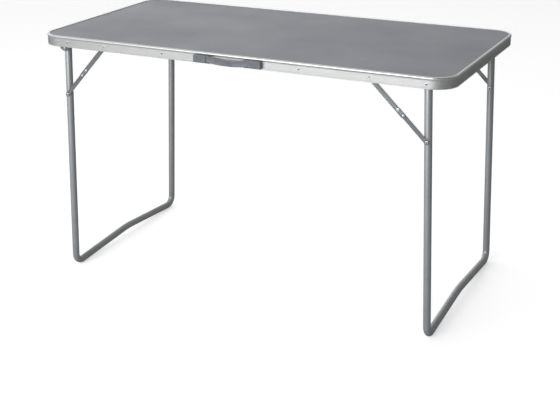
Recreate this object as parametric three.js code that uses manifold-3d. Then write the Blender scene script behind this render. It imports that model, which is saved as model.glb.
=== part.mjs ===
// A folding camping table, in millimetres, +Z up, standing open on its two U-shaped legs.
// The origin is on the floor under the middle of the top, +X runs along the top's length and
// the carrying handle is on the -Y side, which is called the front.
// "Depth" below is a distance inwards from the rim's outer face, towards the middle of the table.
import * as THREE from 'three';
import { mergeVertices } from 'three/addons/utils/BufferGeometryUtils.js';
import Module from 'manifold-3d';

const wasm = await Module();
wasm.setup();

// ---- Driving dimensions ----

const CLEARANCE = 0.3; // between pieces that touch

const TOP_LENGTH = 1200;
const TOP_WIDTH = 600;
const TABLE_HEIGHT = 705; // floor to the crown of the rim's bead
const CORNER_RADIUS = 60; // of the rim's outer edge
const PANEL_THICKNESS = 4;

const RIM_HEIGHT = 30; // bead and skirt together
const BEAD_RADIUS = 4;
const LIP_REACH = 7.6; // how far the bead's lip covers the panel
const LIP_THICKNESS = 1.3;
const RIM_WEB = 2.6; // depth of the groove's back wall
const SHELF_REACH = 8;
const SHELF_THICKNESS = 1.2;
const SKIRT_RECESS = 1.3; // the skirt stands back from the bead
const SKIRT_THICKNESS = 1;
const SEAM_GAP = 0.4; // where the bent rim's two ends meet, at the middle of the back
const SPLICE_LENGTH = 70;
const SPLICE_HEIGHT = 16;
const SPLICE_THICKNESS = 1.5;

const RIVET_DROP = 16; // rivet line of the skirt, below the crown
const RIVET_HEAD_RADIUS = 3;
const RIVET_HEAD_HEIGHT = 0.9;
const RIVET_SHANK_RADIUS = 1.6;
const RIVET_TAIL_RADIUS = 2.8;
const RIVET_TAIL_HEIGHT = 0.8;

const RAIL_OFFSET = 200; // of each cross rail from the middle
const RAIL_WIDTH = 24;
const RAIL_DEPTH = 6.8;
const RAIL_GAUGE = 1.2;
const RAIL_TAB_DROP = 10; // the tab's reach below the rail's web
const CENTRE_RAIL_LEFT = 470; // the centre rail's reach each way from the middle
const CENTRE_RAIL_RIGHT = 540;
const CENTRE_RAIL_WIDTH = 20;
const CENTRE_RAIL_DEPTH = 5.6;

const TUBE_RADIUS = 10;
const TUBE_WALL = 1;
const TUBE_PAST_PIVOT = 4;
const SPLAY = THREE.MathUtils.degToRad(2.4); // each leg leans outwards
const FOOT_BEND_RADIUS = 28;
const BAR_SLOPE = THREE.MathUtils.degToRad(3.7); // the floor bar rises towards its middle
const BAR_BEND_RADIUS = 400;
const PLUG_STEM = 12;

const LEFT_PIVOT_INSET = 24; // from the end of the rim's straight side
const RIGHT_PIVOT_INSET = 4;
const RIGHT_PIVOT_DROP = 18.2; // below the crown
const PIVOT_SHANK_RADIUS = 2.5;
const PIVOT_HEAD_RADIUS = 3.2;
const PIVOT_TAIL_RADIUS = 5;
const SPACER_RADIUS = 5;

const EAR_GAUGE = 1.5;
const EAR_LOBE_RADIUS = 16;
const EAR_LOBE_RISE = 8.5; // of the lobe's centre above the pivot
const EAR_OUTER_REACH = 24; // from the pivot towards the end of the table
const EAR_INNER_REACH = 19;
const EAR_OUTER_RIVET = 19.8;
const EAR_INNER_RIVET = 12.5;

const LINK_GAUGE = 1.2;
const LEFT_BRACE_REACH = 133.4; // from the leg's pivot to the brace's rivet in the skirt
const RIGHT_BRACE_REACH = 147;
const UPPER_LINK_WIDTH = 13;
const LOWER_LINK_WIDTH = 12;
const LOCK_OFFSET = 20; // from the elbow to the locking dimple
const LOCK_TIP_RADIUS = 6;
const DIMPLE_RADIUS = 2.8;
const DIMPLE_HEIGHT = 0.6;
const ELBOW_HEAD_RADIUS = 4.2;
const BRACE_SHANK_RADIUS = 2;
const SHOULDER_RADIUS = 4.5;

const HANDLE_DROP = 16.9; // centre of the handle below the crown
const BLOCK_INNER_END = 50; // from the middle of the table
const BLOCK_LENGTH = 48;
const BLOCK_HEIGHT = 19.2;
const BLOCK_THICKNESS = 11;
const BLOCK_CORNER = 3;
const BLOCK_FLOOR = 1.2;
const BLOCK_FRONT_WALL = 1.7;
const BLOCK_END_WALL = 4;
const BLOCK_WINDOW = 12; // the strap leaves the block through this open length
const STRAP_HEIGHT = 16;
const STRAP_THICKNESS = 2.4;
const STRAP_LENGTH = 56;
const STRAP_BODY_REACH = 5.4; // of the thick part's outer face from the strap's middle
const STRAP_BODY_LENGTH = 43.2;
const STRAP_STANDOFF = 4.5; // of the strap's middle from the skirt
const GRIP_HINGE = 18; // from the middle of the table to the strap's bend
const GRIP_THICKNESS = 8.2;
const GRIP_STANDOFF = 6.1; // of the grip's middle from the skirt

const SIDES_OF_A_HOLE = 16;

// ---- Places worked out from them ----

const HALF_LENGTH = TOP_LENGTH / 2;
const HALF_WIDTH = TOP_WIDTH / 2;
const STRAIGHT_END = HALF_LENGTH - CORNER_RADIUS;
const GROOVE_HEIGHT = PANEL_THICKNESS + 2 * CLEARANCE;
const SHELF_BOTTOM = LIP_THICKNESS + GROOVE_HEIGHT + SHELF_THICKNESS; // below the crown
const PANEL_TOP = TABLE_HEIGHT - LIP_THICKNESS - CLEARANCE;
const PANEL_BOTTOM = PANEL_TOP - PANEL_THICKNESS;
const PANEL_INSET = RIM_WEB + CLEARANCE;
const SKIRT_INNER = SKIRT_RECESS + SKIRT_THICKNESS;
const RIVET_Z = TABLE_HEIGHT - RIVET_DROP;
const RAIL_TOP = PANEL_BOTTOM - CLEARANCE;
const RAIL_BOTTOM = RAIL_TOP - RAIL_DEPTH;
const INNER_GAP = RIVET_TAIL_HEIGHT + 2 * CLEARANCE; // room for a rivet's tail between two faces

// One side of the table: the front at -Y or the back at +Y.
const SIDES = [
  { side: 'front', out: -1 },
  { side: 'back', out: 1 },
];

const leftPivotDrop = RIM_HEIGHT + PIVOT_HEAD_RADIUS + CLEARANCE; // clear of the skirt

// One end of the table, with the layers between skirt and tube from the outside in.
// The left leg hangs from ears below the skirt, so that it folds down over the right one.
const earInner = SKIRT_INNER + CLEARANCE + EAR_GAUGE;
const ENDS = [
  makeEnd('left', -1, LEFT_PIVOT_INSET, leftPivotDrop, LEFT_BRACE_REACH, earInner),
  makeEnd('right', 1, RIGHT_PIVOT_INSET, RIGHT_PIVOT_DROP, RIGHT_BRACE_REACH, SKIRT_INNER),
];

// The brace's two rivets are equally far from the leg's pivot, so that it folds flat with the leg.
function makeEnd(end, out, inset, drop, reach, hangerFace) {
  const pivot = new THREE.Vector3(out * (STRAIGHT_END - inset), 0, TABLE_HEIGHT - drop);
  const braceTop = new THREE.Vector3(pivot.x - out * reach, 0, RIVET_Z);
  const braceDrop = pivot.distanceTo(braceTop);
  const braceFoot = new THREE.Vector3(out * Math.sin(SPLAY), 0, -Math.cos(SPLAY));
  braceFoot.multiplyScalar(braceDrop).add(pivot);
  const along = braceFoot.clone().sub(braceTop);
  const linkLength = along.length() / 2;
  along.normalize();
  const upperLinkFace = hangerFace + INNER_GAP;
  const lowerLinkFace = upperLinkFace + LINK_GAUGE + INNER_GAP;
  const tubeFace = lowerLinkFace + LINK_GAUGE + INNER_GAP;
  return {
    end, out, pivot, braceTop, braceDrop, along, linkLength, upperLinkFace, lowerLinkFace,
    hangerFace, tubeFace, tubeDepth: tubeFace + TUBE_RADIUS,
  };
}

// ---- Finishes ----

const finish = (color, roughness, metalness) =>
  new THREE.MeshStandardMaterial({ color, roughness, metalness });
const LAMINATE = finish(0x4a4b50, 0.45, 0);
const ANODISED = finish(0xd9dada, 0.35, 0.9);
const ZINC = finish(0xb9bcbf, 0.4, 0.9);
const STEEL_STRIP = finish(0x6f7678, 0.45, 0.9);
const BRIGHT_RIVET = finish(0xd0d2d4, 0.25, 1);
const GREY_PAINT = finish(0x8b9093, 0.45, 0.3);
const GREY_PLASTIC = finish(0x7c7f84, 0.55, 0);
const BLACK_PLASTIC = finish(0x202124, 0.6, 0);

// ---- Solid helpers ----

function toSolid(geometry) {
  const bare = geometry.clone();
  bare.deleteAttribute('normal');
  bare.deleteAttribute('uv');
  const merged = mergeVertices(bare, 1e-4);
  return new wasm.Manifold(new wasm.Mesh({
    numProp: 3,
    vertProperties: new Float32Array(merged.attributes.position.array),
    triVerts: new Uint32Array(merged.index.array),
  }));
}

function toGeometry(solid) {
  const { vertProperties, triVerts } = solid.getMesh();
  const geometry = new THREE.BufferGeometry();
  geometry.setAttribute('position', new THREE.BufferAttribute(vertProperties, 3));
  geometry.setIndex(new THREE.BufferAttribute(triVerts, 1));
  return geometry;
}

function cut(geometry, ...tools) {
  return toGeometry(tools.reduce((solid, tool) => solid.subtract(toSolid(tool)), toSolid(geometry)));
}

function join(geometry, ...others) {
  return toGeometry(others.reduce((solid, other) => solid.add(toSolid(other)), toSolid(geometry)));
}

function box(x0, x1, y0, y1, z0, z1) {
  const geometry = new THREE.BoxGeometry(x1 - x0, y1 - y0, z1 - z0);
  return geometry.translate((x0 + x1) / 2, (y0 + y1) / 2, (z0 + z1) / 2);
}

// A round cutting tool along Y.
function drill(x, z, radius, y0, y1) {
  const geometry = new THREE.CylinderGeometry(radius, radius, y1 - y0, SIDES_OF_A_HOLE);
  return geometry.translate(x, (y0 + y1) / 2, z);
}

// A flat plate whose outline is drawn in X and Z, from y0 to y0 + gauge.
function plate(outline, gauge, y0) {
  const geometry = new THREE.ExtrudeGeometry(outline, {
    depth: gauge, bevelEnabled: false, curveSegments: 6,
  });
  return geometry.rotateX(Math.PI / 2).translate(0, y0 + gauge, 0);
}

function roundedRectangle(halfWidth, halfHeight, radius) {
  const x = halfWidth - radius;
  const y = halfHeight - radius;
  const outline = new THREE.Shape();
  outline.absarc(x, y, radius, 0, Math.PI / 2);
  outline.absarc(-x, y, radius, Math.PI / 2, Math.PI);
  outline.absarc(-x, -y, radius, Math.PI, Math.PI * 1.5);
  outline.absarc(x, -y, radius, Math.PI * 1.5, Math.PI * 2);
  outline.closePath();
  return outline;
}

// A turned piece about Y, from [radius, y] pairs that start and end on the axis, y rising.
function turned(profile) {
  const points = profile.map(([radius, y]) => new THREE.Vector2(radius, y));
  return new THREE.LatheGeometry(points, SIDES_OF_A_HOLE);
}

// A path of straight runs and bends, with a station only where a bend needs one.
// Bends turn right-handed about `axis`.
class BentPath extends THREE.Curve {
  constructor(start, heading, axis) {
    super();
    this.axis = axis;
    this.stations = [{ point: start, tangent: heading }];
  }

  get steps() {
    return this.stations.length - 1;
  }

  straight(length) {
    const { point, tangent } = this.stations.at(-1);
    this.stations.push({ point: point.clone().addScaledVector(tangent, length), tangent });
    return this;
  }

  bend(angle, radius, steps) {
    const { point, tangent } = this.stations.at(-1);
    const arm = new THREE.Vector3().crossVectors(tangent, this.axis);
    arm.multiplyScalar(Math.sign(angle) * radius);
    const centre = point.clone().sub(arm);
    for (let step = 1; step <= steps; step += 1) {
      const turn = angle * step / steps;
      this.stations.push({
        point: arm.clone().applyAxisAngle(this.axis, turn).add(centre),
        tangent: tangent.clone().applyAxisAngle(this.axis, turn),
      });
    }
    return this;
  }

  getPointAt(share, target = new THREE.Vector3()) {
    return target.copy(this.stations[Math.round(share * this.steps)].point);
  }

  getTangentAt(share, target = new THREE.Vector3()) {
    return target.copy(this.stations[Math.round(share * this.steps)].tangent);
  }
}

function sweep(section, path, curveSegments) {
  return new THREE.ExtrudeGeometry(section, { extrudePath: path, steps: path.steps, curveSegments });
}

// ---- The table, filled piece by piece ----

const table = new THREE.Group();

function add(parent, name, geometry, material) {
  const mesh = new THREE.Mesh(geometry, material);
  mesh.name = name;
  parent.add(mesh);
  return mesh;
}

// The lower y of a layer between two depths, on the front or the back.
function layerStart(out, depth0, depth1) {
  return out < 0 ? depth0 - HALF_WIDTH : HALF_WIDTH - depth1;
}

// A turned piece drawn with y as depth, set at x, z on the front or the back.
function addTurned(parent, name, profile, material, out, x, z) {
  const mesh = add(parent, name, turned(profile), material);
  mesh.position.set(x, out * HALF_WIDTH, z);
  mesh.rotation.z = out < 0 ? 0 : Math.PI;
  return mesh;
}

// A low domed head from depth0 to depth1, the dome on the outer side.
function domedHead(radius, depth0, depth1) {
  const height = depth1 - depth0;
  return [[0, depth0], [radius * 0.6, depth0 + height * 0.15], [radius, depth0 + height * 0.65],
    [radius, depth1]];
}

// The same head facing inwards.
function domedTail(radius, depth0, depth1) {
  const height = depth1 - depth0;
  return [[radius, depth0], [radius, depth0 + height * 0.35], [radius * 0.6, depth0 + height * 0.85],
    [0, depth1]];
}

// A rivet from its outer head, through a hole, to its tail. Depths are of the clamped faces.
function rivetProfile(headRadius, headHeight, shankRadius, outerFace, innerFace, tailRadius, tailHeight) {
  const headInner = outerFace - CLEARANCE;
  const tailOuter = innerFace + CLEARANCE;
  return [
    ...domedHead(headRadius, headInner - headHeight, headInner),
    [shankRadius, headInner],
    [shankRadius, tailOuter],
    ...domedTail(tailRadius, tailOuter, tailOuter + tailHeight),
  ];
}

// ---- Top ----

add(table, 'top_panel', new THREE.ExtrudeGeometry(
  roundedRectangle(HALF_LENGTH - PANEL_INSET, HALF_WIDTH - PANEL_INSET, CORNER_RADIUS - PANEL_INSET),
  { depth: PANEL_THICKNESS, bevelEnabled: false, curveSegments: 6 },
).translate(0, 0, PANEL_BOTTOM), LAMINATE);

// The rim's section, x downwards from the crown and y inwards from the outer face.
function rimSection() {
  const skirtMeetsBead = Math.acos((BEAD_RADIUS - SKIRT_RECESS) / BEAD_RADIUS);
  const section = new THREE.Shape();
  section.moveTo(RIM_HEIGHT, SKIRT_RECESS);
  section.lineTo(RIM_HEIGHT, SKIRT_INNER);
  section.lineTo(SHELF_BOTTOM, SKIRT_INNER);
  section.lineTo(SHELF_BOTTOM, SHELF_REACH);
  section.lineTo(SHELF_BOTTOM - SHELF_THICKNESS, SHELF_REACH);
  section.lineTo(SHELF_BOTTOM - SHELF_THICKNESS, RIM_WEB);
  section.lineTo(LIP_THICKNESS, RIM_WEB);
  section.lineTo(LIP_THICKNESS, LIP_REACH);
  section.lineTo(LIP_THICKNESS * 0.6, LIP_REACH);
  section.lineTo(0, (BEAD_RADIUS + LIP_REACH) / 2);
  section.absarc(BEAD_RADIUS, BEAD_RADIUS, BEAD_RADIUS, Math.PI, Math.PI * 1.5 + skirtMeetsBead);
  section.closePath();
  return section;
}

const rimPath = new BentPath(
  new THREE.Vector3(-SEAM_GAP / 2, HALF_WIDTH, TABLE_HEIGHT),
  new THREE.Vector3(-1, 0, 0),
  new THREE.Vector3(0, 0, 1),
);
const CORNER_STEPS = 10;
const lengthwise = TOP_LENGTH - 2 * CORNER_RADIUS;
const crosswise = TOP_WIDTH - 2 * CORNER_RADIUS;
rimPath.straight((lengthwise - SEAM_GAP) / 2);
for (const run of [crosswise, lengthwise, crosswise, (lengthwise - SEAM_GAP) / 2]) {
  rimPath.bend(Math.PI / 2, CORNER_RADIUS, CORNER_STEPS).straight(run);
}

const skirtHoles = SIDES.flatMap(({ out }) => {
  const y0 = layerStart(out, 0, SKIRT_INNER + CLEARANCE);
  const hole = (x, z, radius) => drill(x, z, radius + CLEARANCE, y0, y0 + SKIRT_INNER + CLEARANCE);
  const [left, right] = ENDS;
  return [
    hole(-RAIL_OFFSET, RIVET_Z, RIVET_SHANK_RADIUS),
    hole(RAIL_OFFSET, RIVET_Z, RIVET_SHANK_RADIUS),
    hole(left.pivot.x - EAR_OUTER_RIVET, RIVET_Z, RIVET_SHANK_RADIUS),
    hole(left.pivot.x + EAR_INNER_RIVET, RIVET_Z, RIVET_SHANK_RADIUS),
    hole(left.braceTop.x, RIVET_Z, BRACE_SHANK_RADIUS),
    hole(right.braceTop.x, RIVET_Z, BRACE_SHANK_RADIUS),
    hole(right.pivot.x, right.pivot.z, PIVOT_SHANK_RADIUS),
  ];
});
add(table, 'rim_frame', cut(sweep(rimSection(), rimPath, 5), ...skirtHoles), ANODISED);

const spliceStart = layerStart(1, SKIRT_INNER + CLEARANCE, SKIRT_INNER + CLEARANCE + SPLICE_THICKNESS);
add(table, 'rim_splice', plate(
  roundedRectangle(SPLICE_LENGTH / 2, SPLICE_HEIGHT / 2, 2),
  SPLICE_THICKNESS,
  spliceStart,
).translate(0, 0, RIVET_Z - 1), ZINC);

// ---- Rails under the panel ----

// A channel open towards the panel, whose web ends in two tabs riveted to the skirt.
function crossRail(x) {
  const webEnd = HALF_WIDTH - SKIRT_INNER - CLEARANCE;
  const wallEnd = HALF_WIDTH - SHELF_REACH - 2 * CLEARANCE;
  const half = RAIL_WIDTH / 2;
  const webTop = RAIL_BOTTOM + RAIL_GAUGE;
  const tabBottom = RAIL_BOTTOM - RAIL_TAB_DROP;
  const web = box(x - half, x + half, -webEnd, webEnd, RAIL_BOTTOM, webTop);
  const walls = [-1, 1].map((way) => {
    const outer = x + way * half;
    const inner = outer - way * RAIL_GAUGE;
    return box(Math.min(outer, inner), Math.max(outer, inner), -wallEnd, wallEnd, RAIL_BOTTOM, RAIL_TOP);
  });
  const tabs = [-1, 1].map((way) => {
    const outer = way * webEnd;
    const inner = outer - way * RAIL_GAUGE;
    return box(x - half, x + half, Math.min(outer, inner), Math.max(outer, inner), tabBottom, webTop);
  });
  const notch = CENTRE_RAIL_WIDTH / 2 + CLEARANCE;
  const notchBottom = RAIL_TOP - RAIL_GAUGE - CLEARANCE;
  return cut(
    join(web, ...walls, ...tabs),
    box(x - RAIL_WIDTH, x + RAIL_WIDTH, -notch, notch, notchBottom, PANEL_TOP),
    drill(x, RIVET_Z, RIVET_SHANK_RADIUS + CLEARANCE, -HALF_WIDTH, HALF_WIDTH),
  );
}

// An upside-down channel whose walls are notched where the cross rails pass.
function centreRail() {
  const half = CENTRE_RAIL_WIDTH / 2;
  const bottom = RAIL_TOP - CENTRE_RAIL_DEPTH;
  const inner = half - RAIL_GAUGE;
  const notch = RAIL_WIDTH / 2 + CLEARANCE;
  const channel = cut(
    box(-CENTRE_RAIL_LEFT, CENTRE_RAIL_RIGHT, -half, half, bottom, RAIL_TOP),
    box(-TOP_LENGTH, TOP_LENGTH, -inner, inner, 0, RAIL_TOP - RAIL_GAUGE),
  );
  const notches = [-RAIL_OFFSET, RAIL_OFFSET].map((x) => (
    box(x - notch, x + notch, -CENTRE_RAIL_WIDTH, CENTRE_RAIL_WIDTH, 0, RAIL_TOP - RAIL_GAUGE)
  ));
  return cut(channel, ...notches);
}

add(table, 'centre_rail', centreRail(), ZINC);
const railTabInner = SKIRT_INNER + CLEARANCE + RAIL_GAUGE;
const railRivet = rivetProfile(RIVET_HEAD_RADIUS, RIVET_HEAD_HEIGHT, RIVET_SHANK_RADIUS,
  SKIRT_RECESS, railTabInner, RIVET_TAIL_RADIUS, RIVET_TAIL_HEIGHT);
for (const { end, out: endOut } of ENDS) {
  const x = endOut * RAIL_OFFSET;
  add(table, `cross_rail_${end}`, crossRail(x), ZINC);
  for (const { side, out } of SIDES) {
    addTurned(table, `rail_rivet_${side}_${end}`, railRivet, BRIGHT_RIVET, out, x, RIVET_Z);
  }
}

// ---- Hinge ears of the left leg ----

// A plate against the skirt's inside whose round lobe hangs below it and carries the pivot.
function earOutline(left) {
  const { x, z } = left.pivot;
  const lobeZ = z + EAR_LOBE_RISE;
  const top = TABLE_HEIGHT - SHELF_BOTTOM - CLEARANCE;
  const outline = new THREE.Shape();
  outline.moveTo(x - EAR_OUTER_REACH, top);
  outline.lineTo(x - EAR_OUTER_REACH, lobeZ + 2);
  outline.lineTo(x - EAR_OUTER_REACH + 2, lobeZ);
  outline.absarc(x, lobeZ, EAR_LOBE_RADIUS, Math.PI, Math.PI * 2);
  outline.lineTo(x + EAR_INNER_REACH, lobeZ + 2);
  outline.lineTo(x + EAR_INNER_REACH, top);
  outline.closePath();
  return outline;
}

const [leftEnd, rightEnd] = ENDS;
const earRivet = rivetProfile(RIVET_HEAD_RADIUS, RIVET_HEAD_HEIGHT, RIVET_SHANK_RADIUS,
  SKIRT_RECESS, earInner, RIVET_TAIL_RADIUS, RIVET_TAIL_HEIGHT);
const EAR_RIVETS = [
  { place: 'outer', x: leftEnd.pivot.x - EAR_OUTER_RIVET },
  { place: 'inner', x: leftEnd.pivot.x + EAR_INNER_RIVET },
];
for (const { side, out } of SIDES) {
  const y0 = layerStart(out, SKIRT_INNER + CLEARANCE, earInner);
  const through = (x, z, radius) => drill(x, z, radius + CLEARANCE, y0 - 1, y0 + EAR_GAUGE + 1);
  const holes = EAR_RIVETS.map(({ x }) => through(x, RIVET_Z, RIVET_SHANK_RADIUS));
  holes.push(through(leftEnd.pivot.x, leftEnd.pivot.z, PIVOT_SHANK_RADIUS));
  add(table, `hinge_ear_${side}`, cut(plate(earOutline(leftEnd), EAR_GAUGE, y0), ...holes),
    STEEL_STRIP);
  for (const { place, x } of EAR_RIVETS) {
    addTurned(table, `ear_rivet_${side}_${place}`, earRivet, BRIGHT_RIVET, out, x, RIVET_Z);
  }
}

// ---- Pivots of the legs ----

// The left pins hang from the ears, and the right rivets go through the skirt.
function pivotProfile(outerFace, { tubeFace }) {
  return rivetProfile(PIVOT_HEAD_RADIUS, RIVET_HEAD_HEIGHT, PIVOT_SHANK_RADIUS, outerFace,
    tubeFace + 2 * TUBE_RADIUS, PIVOT_TAIL_RADIUS, 1.5);
}

// A ring between two depths, turned from a closed profile.
function ringProfile(inner, outer, depth0, depth1) {
  return [[inner, depth0], [outer, depth0], [outer, depth1], [inner, depth1], [inner, depth0]];
}

const PIVOTS = [
  { at: leftEnd, name: 'left_pivot_pin', outerFace: SKIRT_INNER + CLEARANCE },
  { at: rightEnd, name: 'right_pivot_rivet', outerFace: SKIRT_RECESS },
];
for (const { at, name, outerFace } of PIVOTS) {
  const { x, z } = at.pivot;
  const spacer = ringProfile(PIVOT_SHANK_RADIUS + CLEARANCE, SPACER_RADIUS,
    at.hangerFace + CLEARANCE, at.tubeFace - CLEARANCE);
  for (const { side, out } of SIDES) {
    addTurned(table, `${name}_${side}`, pivotProfile(outerFace, at), BRIGHT_RIVET, out, x, z);
    addTurned(table, `pivot_spacer_${side}_${at.end}`, spacer, GREY_PLASTIC, out, x, z);
  }
}

// ---- Legs: one bent tube at each end, with its origin on the pivot ----

function legPath({ pivot, tubeDepth }) {
  const halfSpan = HALF_WIDTH - tubeDepth;
  const lowest = (pivot.z - TUBE_RADIUS) / Math.cos(SPLAY);
  const bendEnd = halfSpan - FOOT_BEND_RADIUS * (1 + Math.sin(BAR_SLOPE));
  const barRun = (bendEnd - BAR_BEND_RADIUS * Math.sin(BAR_SLOPE)) / Math.cos(BAR_SLOPE);
  const footTurn = Math.PI / 2 + BAR_SLOPE;
  const legRun = TUBE_PAST_PIVOT + lowest - FOOT_BEND_RADIUS;
  const path = new BentPath(
    new THREE.Vector3(0, -halfSpan, TUBE_PAST_PIVOT),
    new THREE.Vector3(0, 0, -1),
    new THREE.Vector3(1, 0, 0),
  );
  path.straight(legRun).bend(footTurn, FOOT_BEND_RADIUS, 9).straight(barRun);
  path.bend(-2 * BAR_SLOPE, BAR_BEND_RADIUS, 4);
  return path.straight(barRun).bend(footTurn, FOOT_BEND_RADIUS, 9).straight(legRun);
}

function tubeSection() {
  const section = new THREE.Shape().absarc(0, 0, TUBE_RADIUS, 0, Math.PI * 2);
  section.holes.push(new THREE.Path().absarc(0, 0, TUBE_RADIUS - TUBE_WALL, 0, Math.PI * 2, true));
  return section;
}

// A plastic plug: a stem inside the tube and a dome over its end.
function plugGeometry() {
  const stem = TUBE_RADIUS - TUBE_WALL - CLEARANCE;
  const domeHeight = TUBE_RADIUS - TUBE_PAST_PIVOT - CLEARANCE;
  const profile = [[0, 0], [stem, 0], [stem, PLUG_STEM], [TUBE_RADIUS, PLUG_STEM]];
  for (const turn of [0.25, 0.5, 0.75]) {
    const angle = turn * Math.PI / 2;
    profile.push([TUBE_RADIUS * Math.cos(angle), PLUG_STEM + domeHeight * Math.sin(angle)]);
  }
  profile.push([0, PLUG_STEM + domeHeight]);
  const drillY = 2 * TUBE_RADIUS;
  const shankHole = drill(0, 0, PIVOT_SHANK_RADIUS + CLEARANCE, -drillY, drillY);
  const stemBottom = TUBE_PAST_PIVOT + CLEARANCE - PLUG_STEM;
  return cut(turned(profile).rotateX(Math.PI / 2).translate(0, 0, stemBottom), shankHole);
}

for (const at of ENDS) {
  const leg = new THREE.Group();
  leg.position.copy(at.pivot);
  leg.rotation.y = -at.out * SPLAY;
  table.add(leg);
  const holes = [
    drill(0, 0, PIVOT_SHANK_RADIUS + CLEARANCE, -HALF_WIDTH, HALF_WIDTH),
    drill(0, -at.braceDrop, BRACE_SHANK_RADIUS + CLEARANCE, -HALF_WIDTH, HALF_WIDTH),
  ];
  add(leg, `leg_tube_${at.end}`, cut(sweep(tubeSection(), legPath(at), 10), ...holes), GREY_PAINT);
  const legRivet = rivetProfile(ELBOW_HEAD_RADIUS, RIVET_TAIL_HEIGHT, BRACE_SHANK_RADIUS,
    at.lowerLinkFace, at.tubeFace + 2 * TUBE_RADIUS, ELBOW_HEAD_RADIUS, RIVET_TAIL_HEIGHT);
  for (const { side, out } of SIDES) {
    const plug = add(leg, `tube_plug_${side}_${at.end}`, plugGeometry(), BLACK_PLASTIC);
    plug.position.y = out * (HALF_WIDTH - at.tubeDepth);
    addTurned(leg, `leg_rivet_${side}_${at.end}`, legRivet, BRIGHT_RIVET, out, 0, -at.braceDrop);
  }
}

// ---- Braces: two links and an elbow at each leg tube ----

// A strip along X from a round end at 0 to a round end at `length`.
function strip(width, length, tipRadius) {
  const half = width / 2;
  const outline = new THREE.Shape();
  outline.absarc(0, 0, half, Math.PI / 2, Math.PI * 1.5);
  outline.lineTo(length - half, -half);
  outline.absarc(length, 0, tipRadius, -Math.PI / 2, Math.PI / 2);
  outline.lineTo(length - half, half);
  outline.closePath();
  return outline;
}

// The brace's rivet in the skirt, with a shoulder that holds the link off the skirt.
function braceRivetProfile({ upperLinkFace }) {
  const [head, tail] = [SKIRT_RECESS - CLEARANCE, upperLinkFace + LINK_GAUGE + CLEARANCE];
  return [
    ...domedHead(RIVET_HEAD_RADIUS, head - RIVET_HEAD_HEIGHT, head),
    [BRACE_SHANK_RADIUS, head],
    [BRACE_SHANK_RADIUS, SKIRT_INNER + CLEARANCE],
    [SHOULDER_RADIUS, SKIRT_INNER + CLEARANCE],
    [SHOULDER_RADIUS, upperLinkFace - CLEARANCE],
    [BRACE_SHANK_RADIUS, upperLinkFace - CLEARANCE],
    [BRACE_SHANK_RADIUS, tail],
    ...domedTail(RIVET_TAIL_RADIUS, tail, tail + RIVET_TAIL_HEIGHT),
  ];
}

// The elbow's rivet is two halves, one on each link, that meet between the links.
function elbowProfiles({ upperLinkFace, lowerLinkFace }) {
  const middle = (upperLinkFace + LINK_GAUGE + lowerLinkFace) / 2;
  const head = upperLinkFace - CLEARANCE;
  const tail = lowerLinkFace + LINK_GAUGE + CLEARANCE;
  return {
    outer: [...domedHead(ELBOW_HEAD_RADIUS, head - RIVET_TAIL_HEIGHT, head),
      [BRACE_SHANK_RADIUS, head],
      [BRACE_SHANK_RADIUS, middle - CLEARANCE / 2],
      [0, middle - CLEARANCE / 2]],
    inner: [[0, middle + CLEARANCE / 2],
      [BRACE_SHANK_RADIUS, middle + CLEARANCE / 2],
      [BRACE_SHANK_RADIUS, tail],
      ...domedTail(ELBOW_HEAD_RADIUS, tail, tail + RIVET_TAIL_HEIGHT)],
  };
}

for (const at of ENDS) {
  const { braceTop, along, linkLength, upperLinkFace, lowerLinkFace } = at;
  const elbow = braceTop.clone().addScaledVector(along, linkLength);
  const foot = braceTop.clone().addScaledVector(along, 2 * linkLength);
  const downwards = Math.atan2(-along.z, along.x);
  const hole = (x, y0) => drill(x, 0, BRACE_SHANK_RADIUS + CLEARANCE, y0 - 1, y0 + LINK_GAUGE + 1);
  const halves = elbowProfiles(at);
  for (const { side, out } of SIDES) {
    const key = `${side}_${at.end}`;

    const upperStart = layerStart(out, upperLinkFace, upperLinkFace + LINK_GAUGE);
    const dimpleFace = out < 0 ? upperStart : upperStart + LINK_GAUGE;
    const dimple = new THREE.CylinderGeometry(
      out < 0 ? DIMPLE_RADIUS : DIMPLE_RADIUS / 2,
      out < 0 ? DIMPLE_RADIUS / 2 : DIMPLE_RADIUS,
      2 * DIMPLE_HEIGHT,
      12,
    ).translate(linkLength + LOCK_OFFSET, dimpleFace, 0);
    const upperStrip = plate(
      strip(UPPER_LINK_WIDTH, linkLength + LOCK_OFFSET, LOCK_TIP_RADIUS),
      LINK_GAUGE,
      upperStart,
    );
    const upper = add(table, `upper_link_${key}`,
      cut(join(upperStrip, dimple), hole(0, upperStart), hole(linkLength, upperStart)), STEEL_STRIP);
    upper.position.copy(braceTop);
    upper.rotation.y = downwards;

    const lowerStart = layerStart(out, lowerLinkFace, lowerLinkFace + LINK_GAUGE);
    const lowerStrip = plate(strip(LOWER_LINK_WIDTH, linkLength, LOWER_LINK_WIDTH / 2), LINK_GAUGE,
      lowerStart);
    const lower = add(table, `lower_link_${key}`,
      cut(lowerStrip, hole(0, lowerStart), hole(linkLength, lowerStart)), STEEL_STRIP);
    lower.position.copy(foot);
    lower.rotation.y = downwards + Math.PI;

    addTurned(table, `brace_rivet_${key}`, braceRivetProfile(at), BRIGHT_RIVET, out, braceTop.x,
      braceTop.z);
    for (const [half, profile] of Object.entries(halves)) {
      addTurned(table, `elbow_rivet_${half}_${key}`, profile, BRIGHT_RIVET, out, elbow.x, elbow.z);
    }
  }
}

// ---- Carrying handle on the front ----

// `out` is the distance outwards from the skirt's outer face.
const skirtFace = SKIRT_RECESS - HALF_WIDTH;
const outwards = (out) => skirtFace - out;
const handleZ = TABLE_HEIGHT - HANDLE_DROP;

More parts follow.
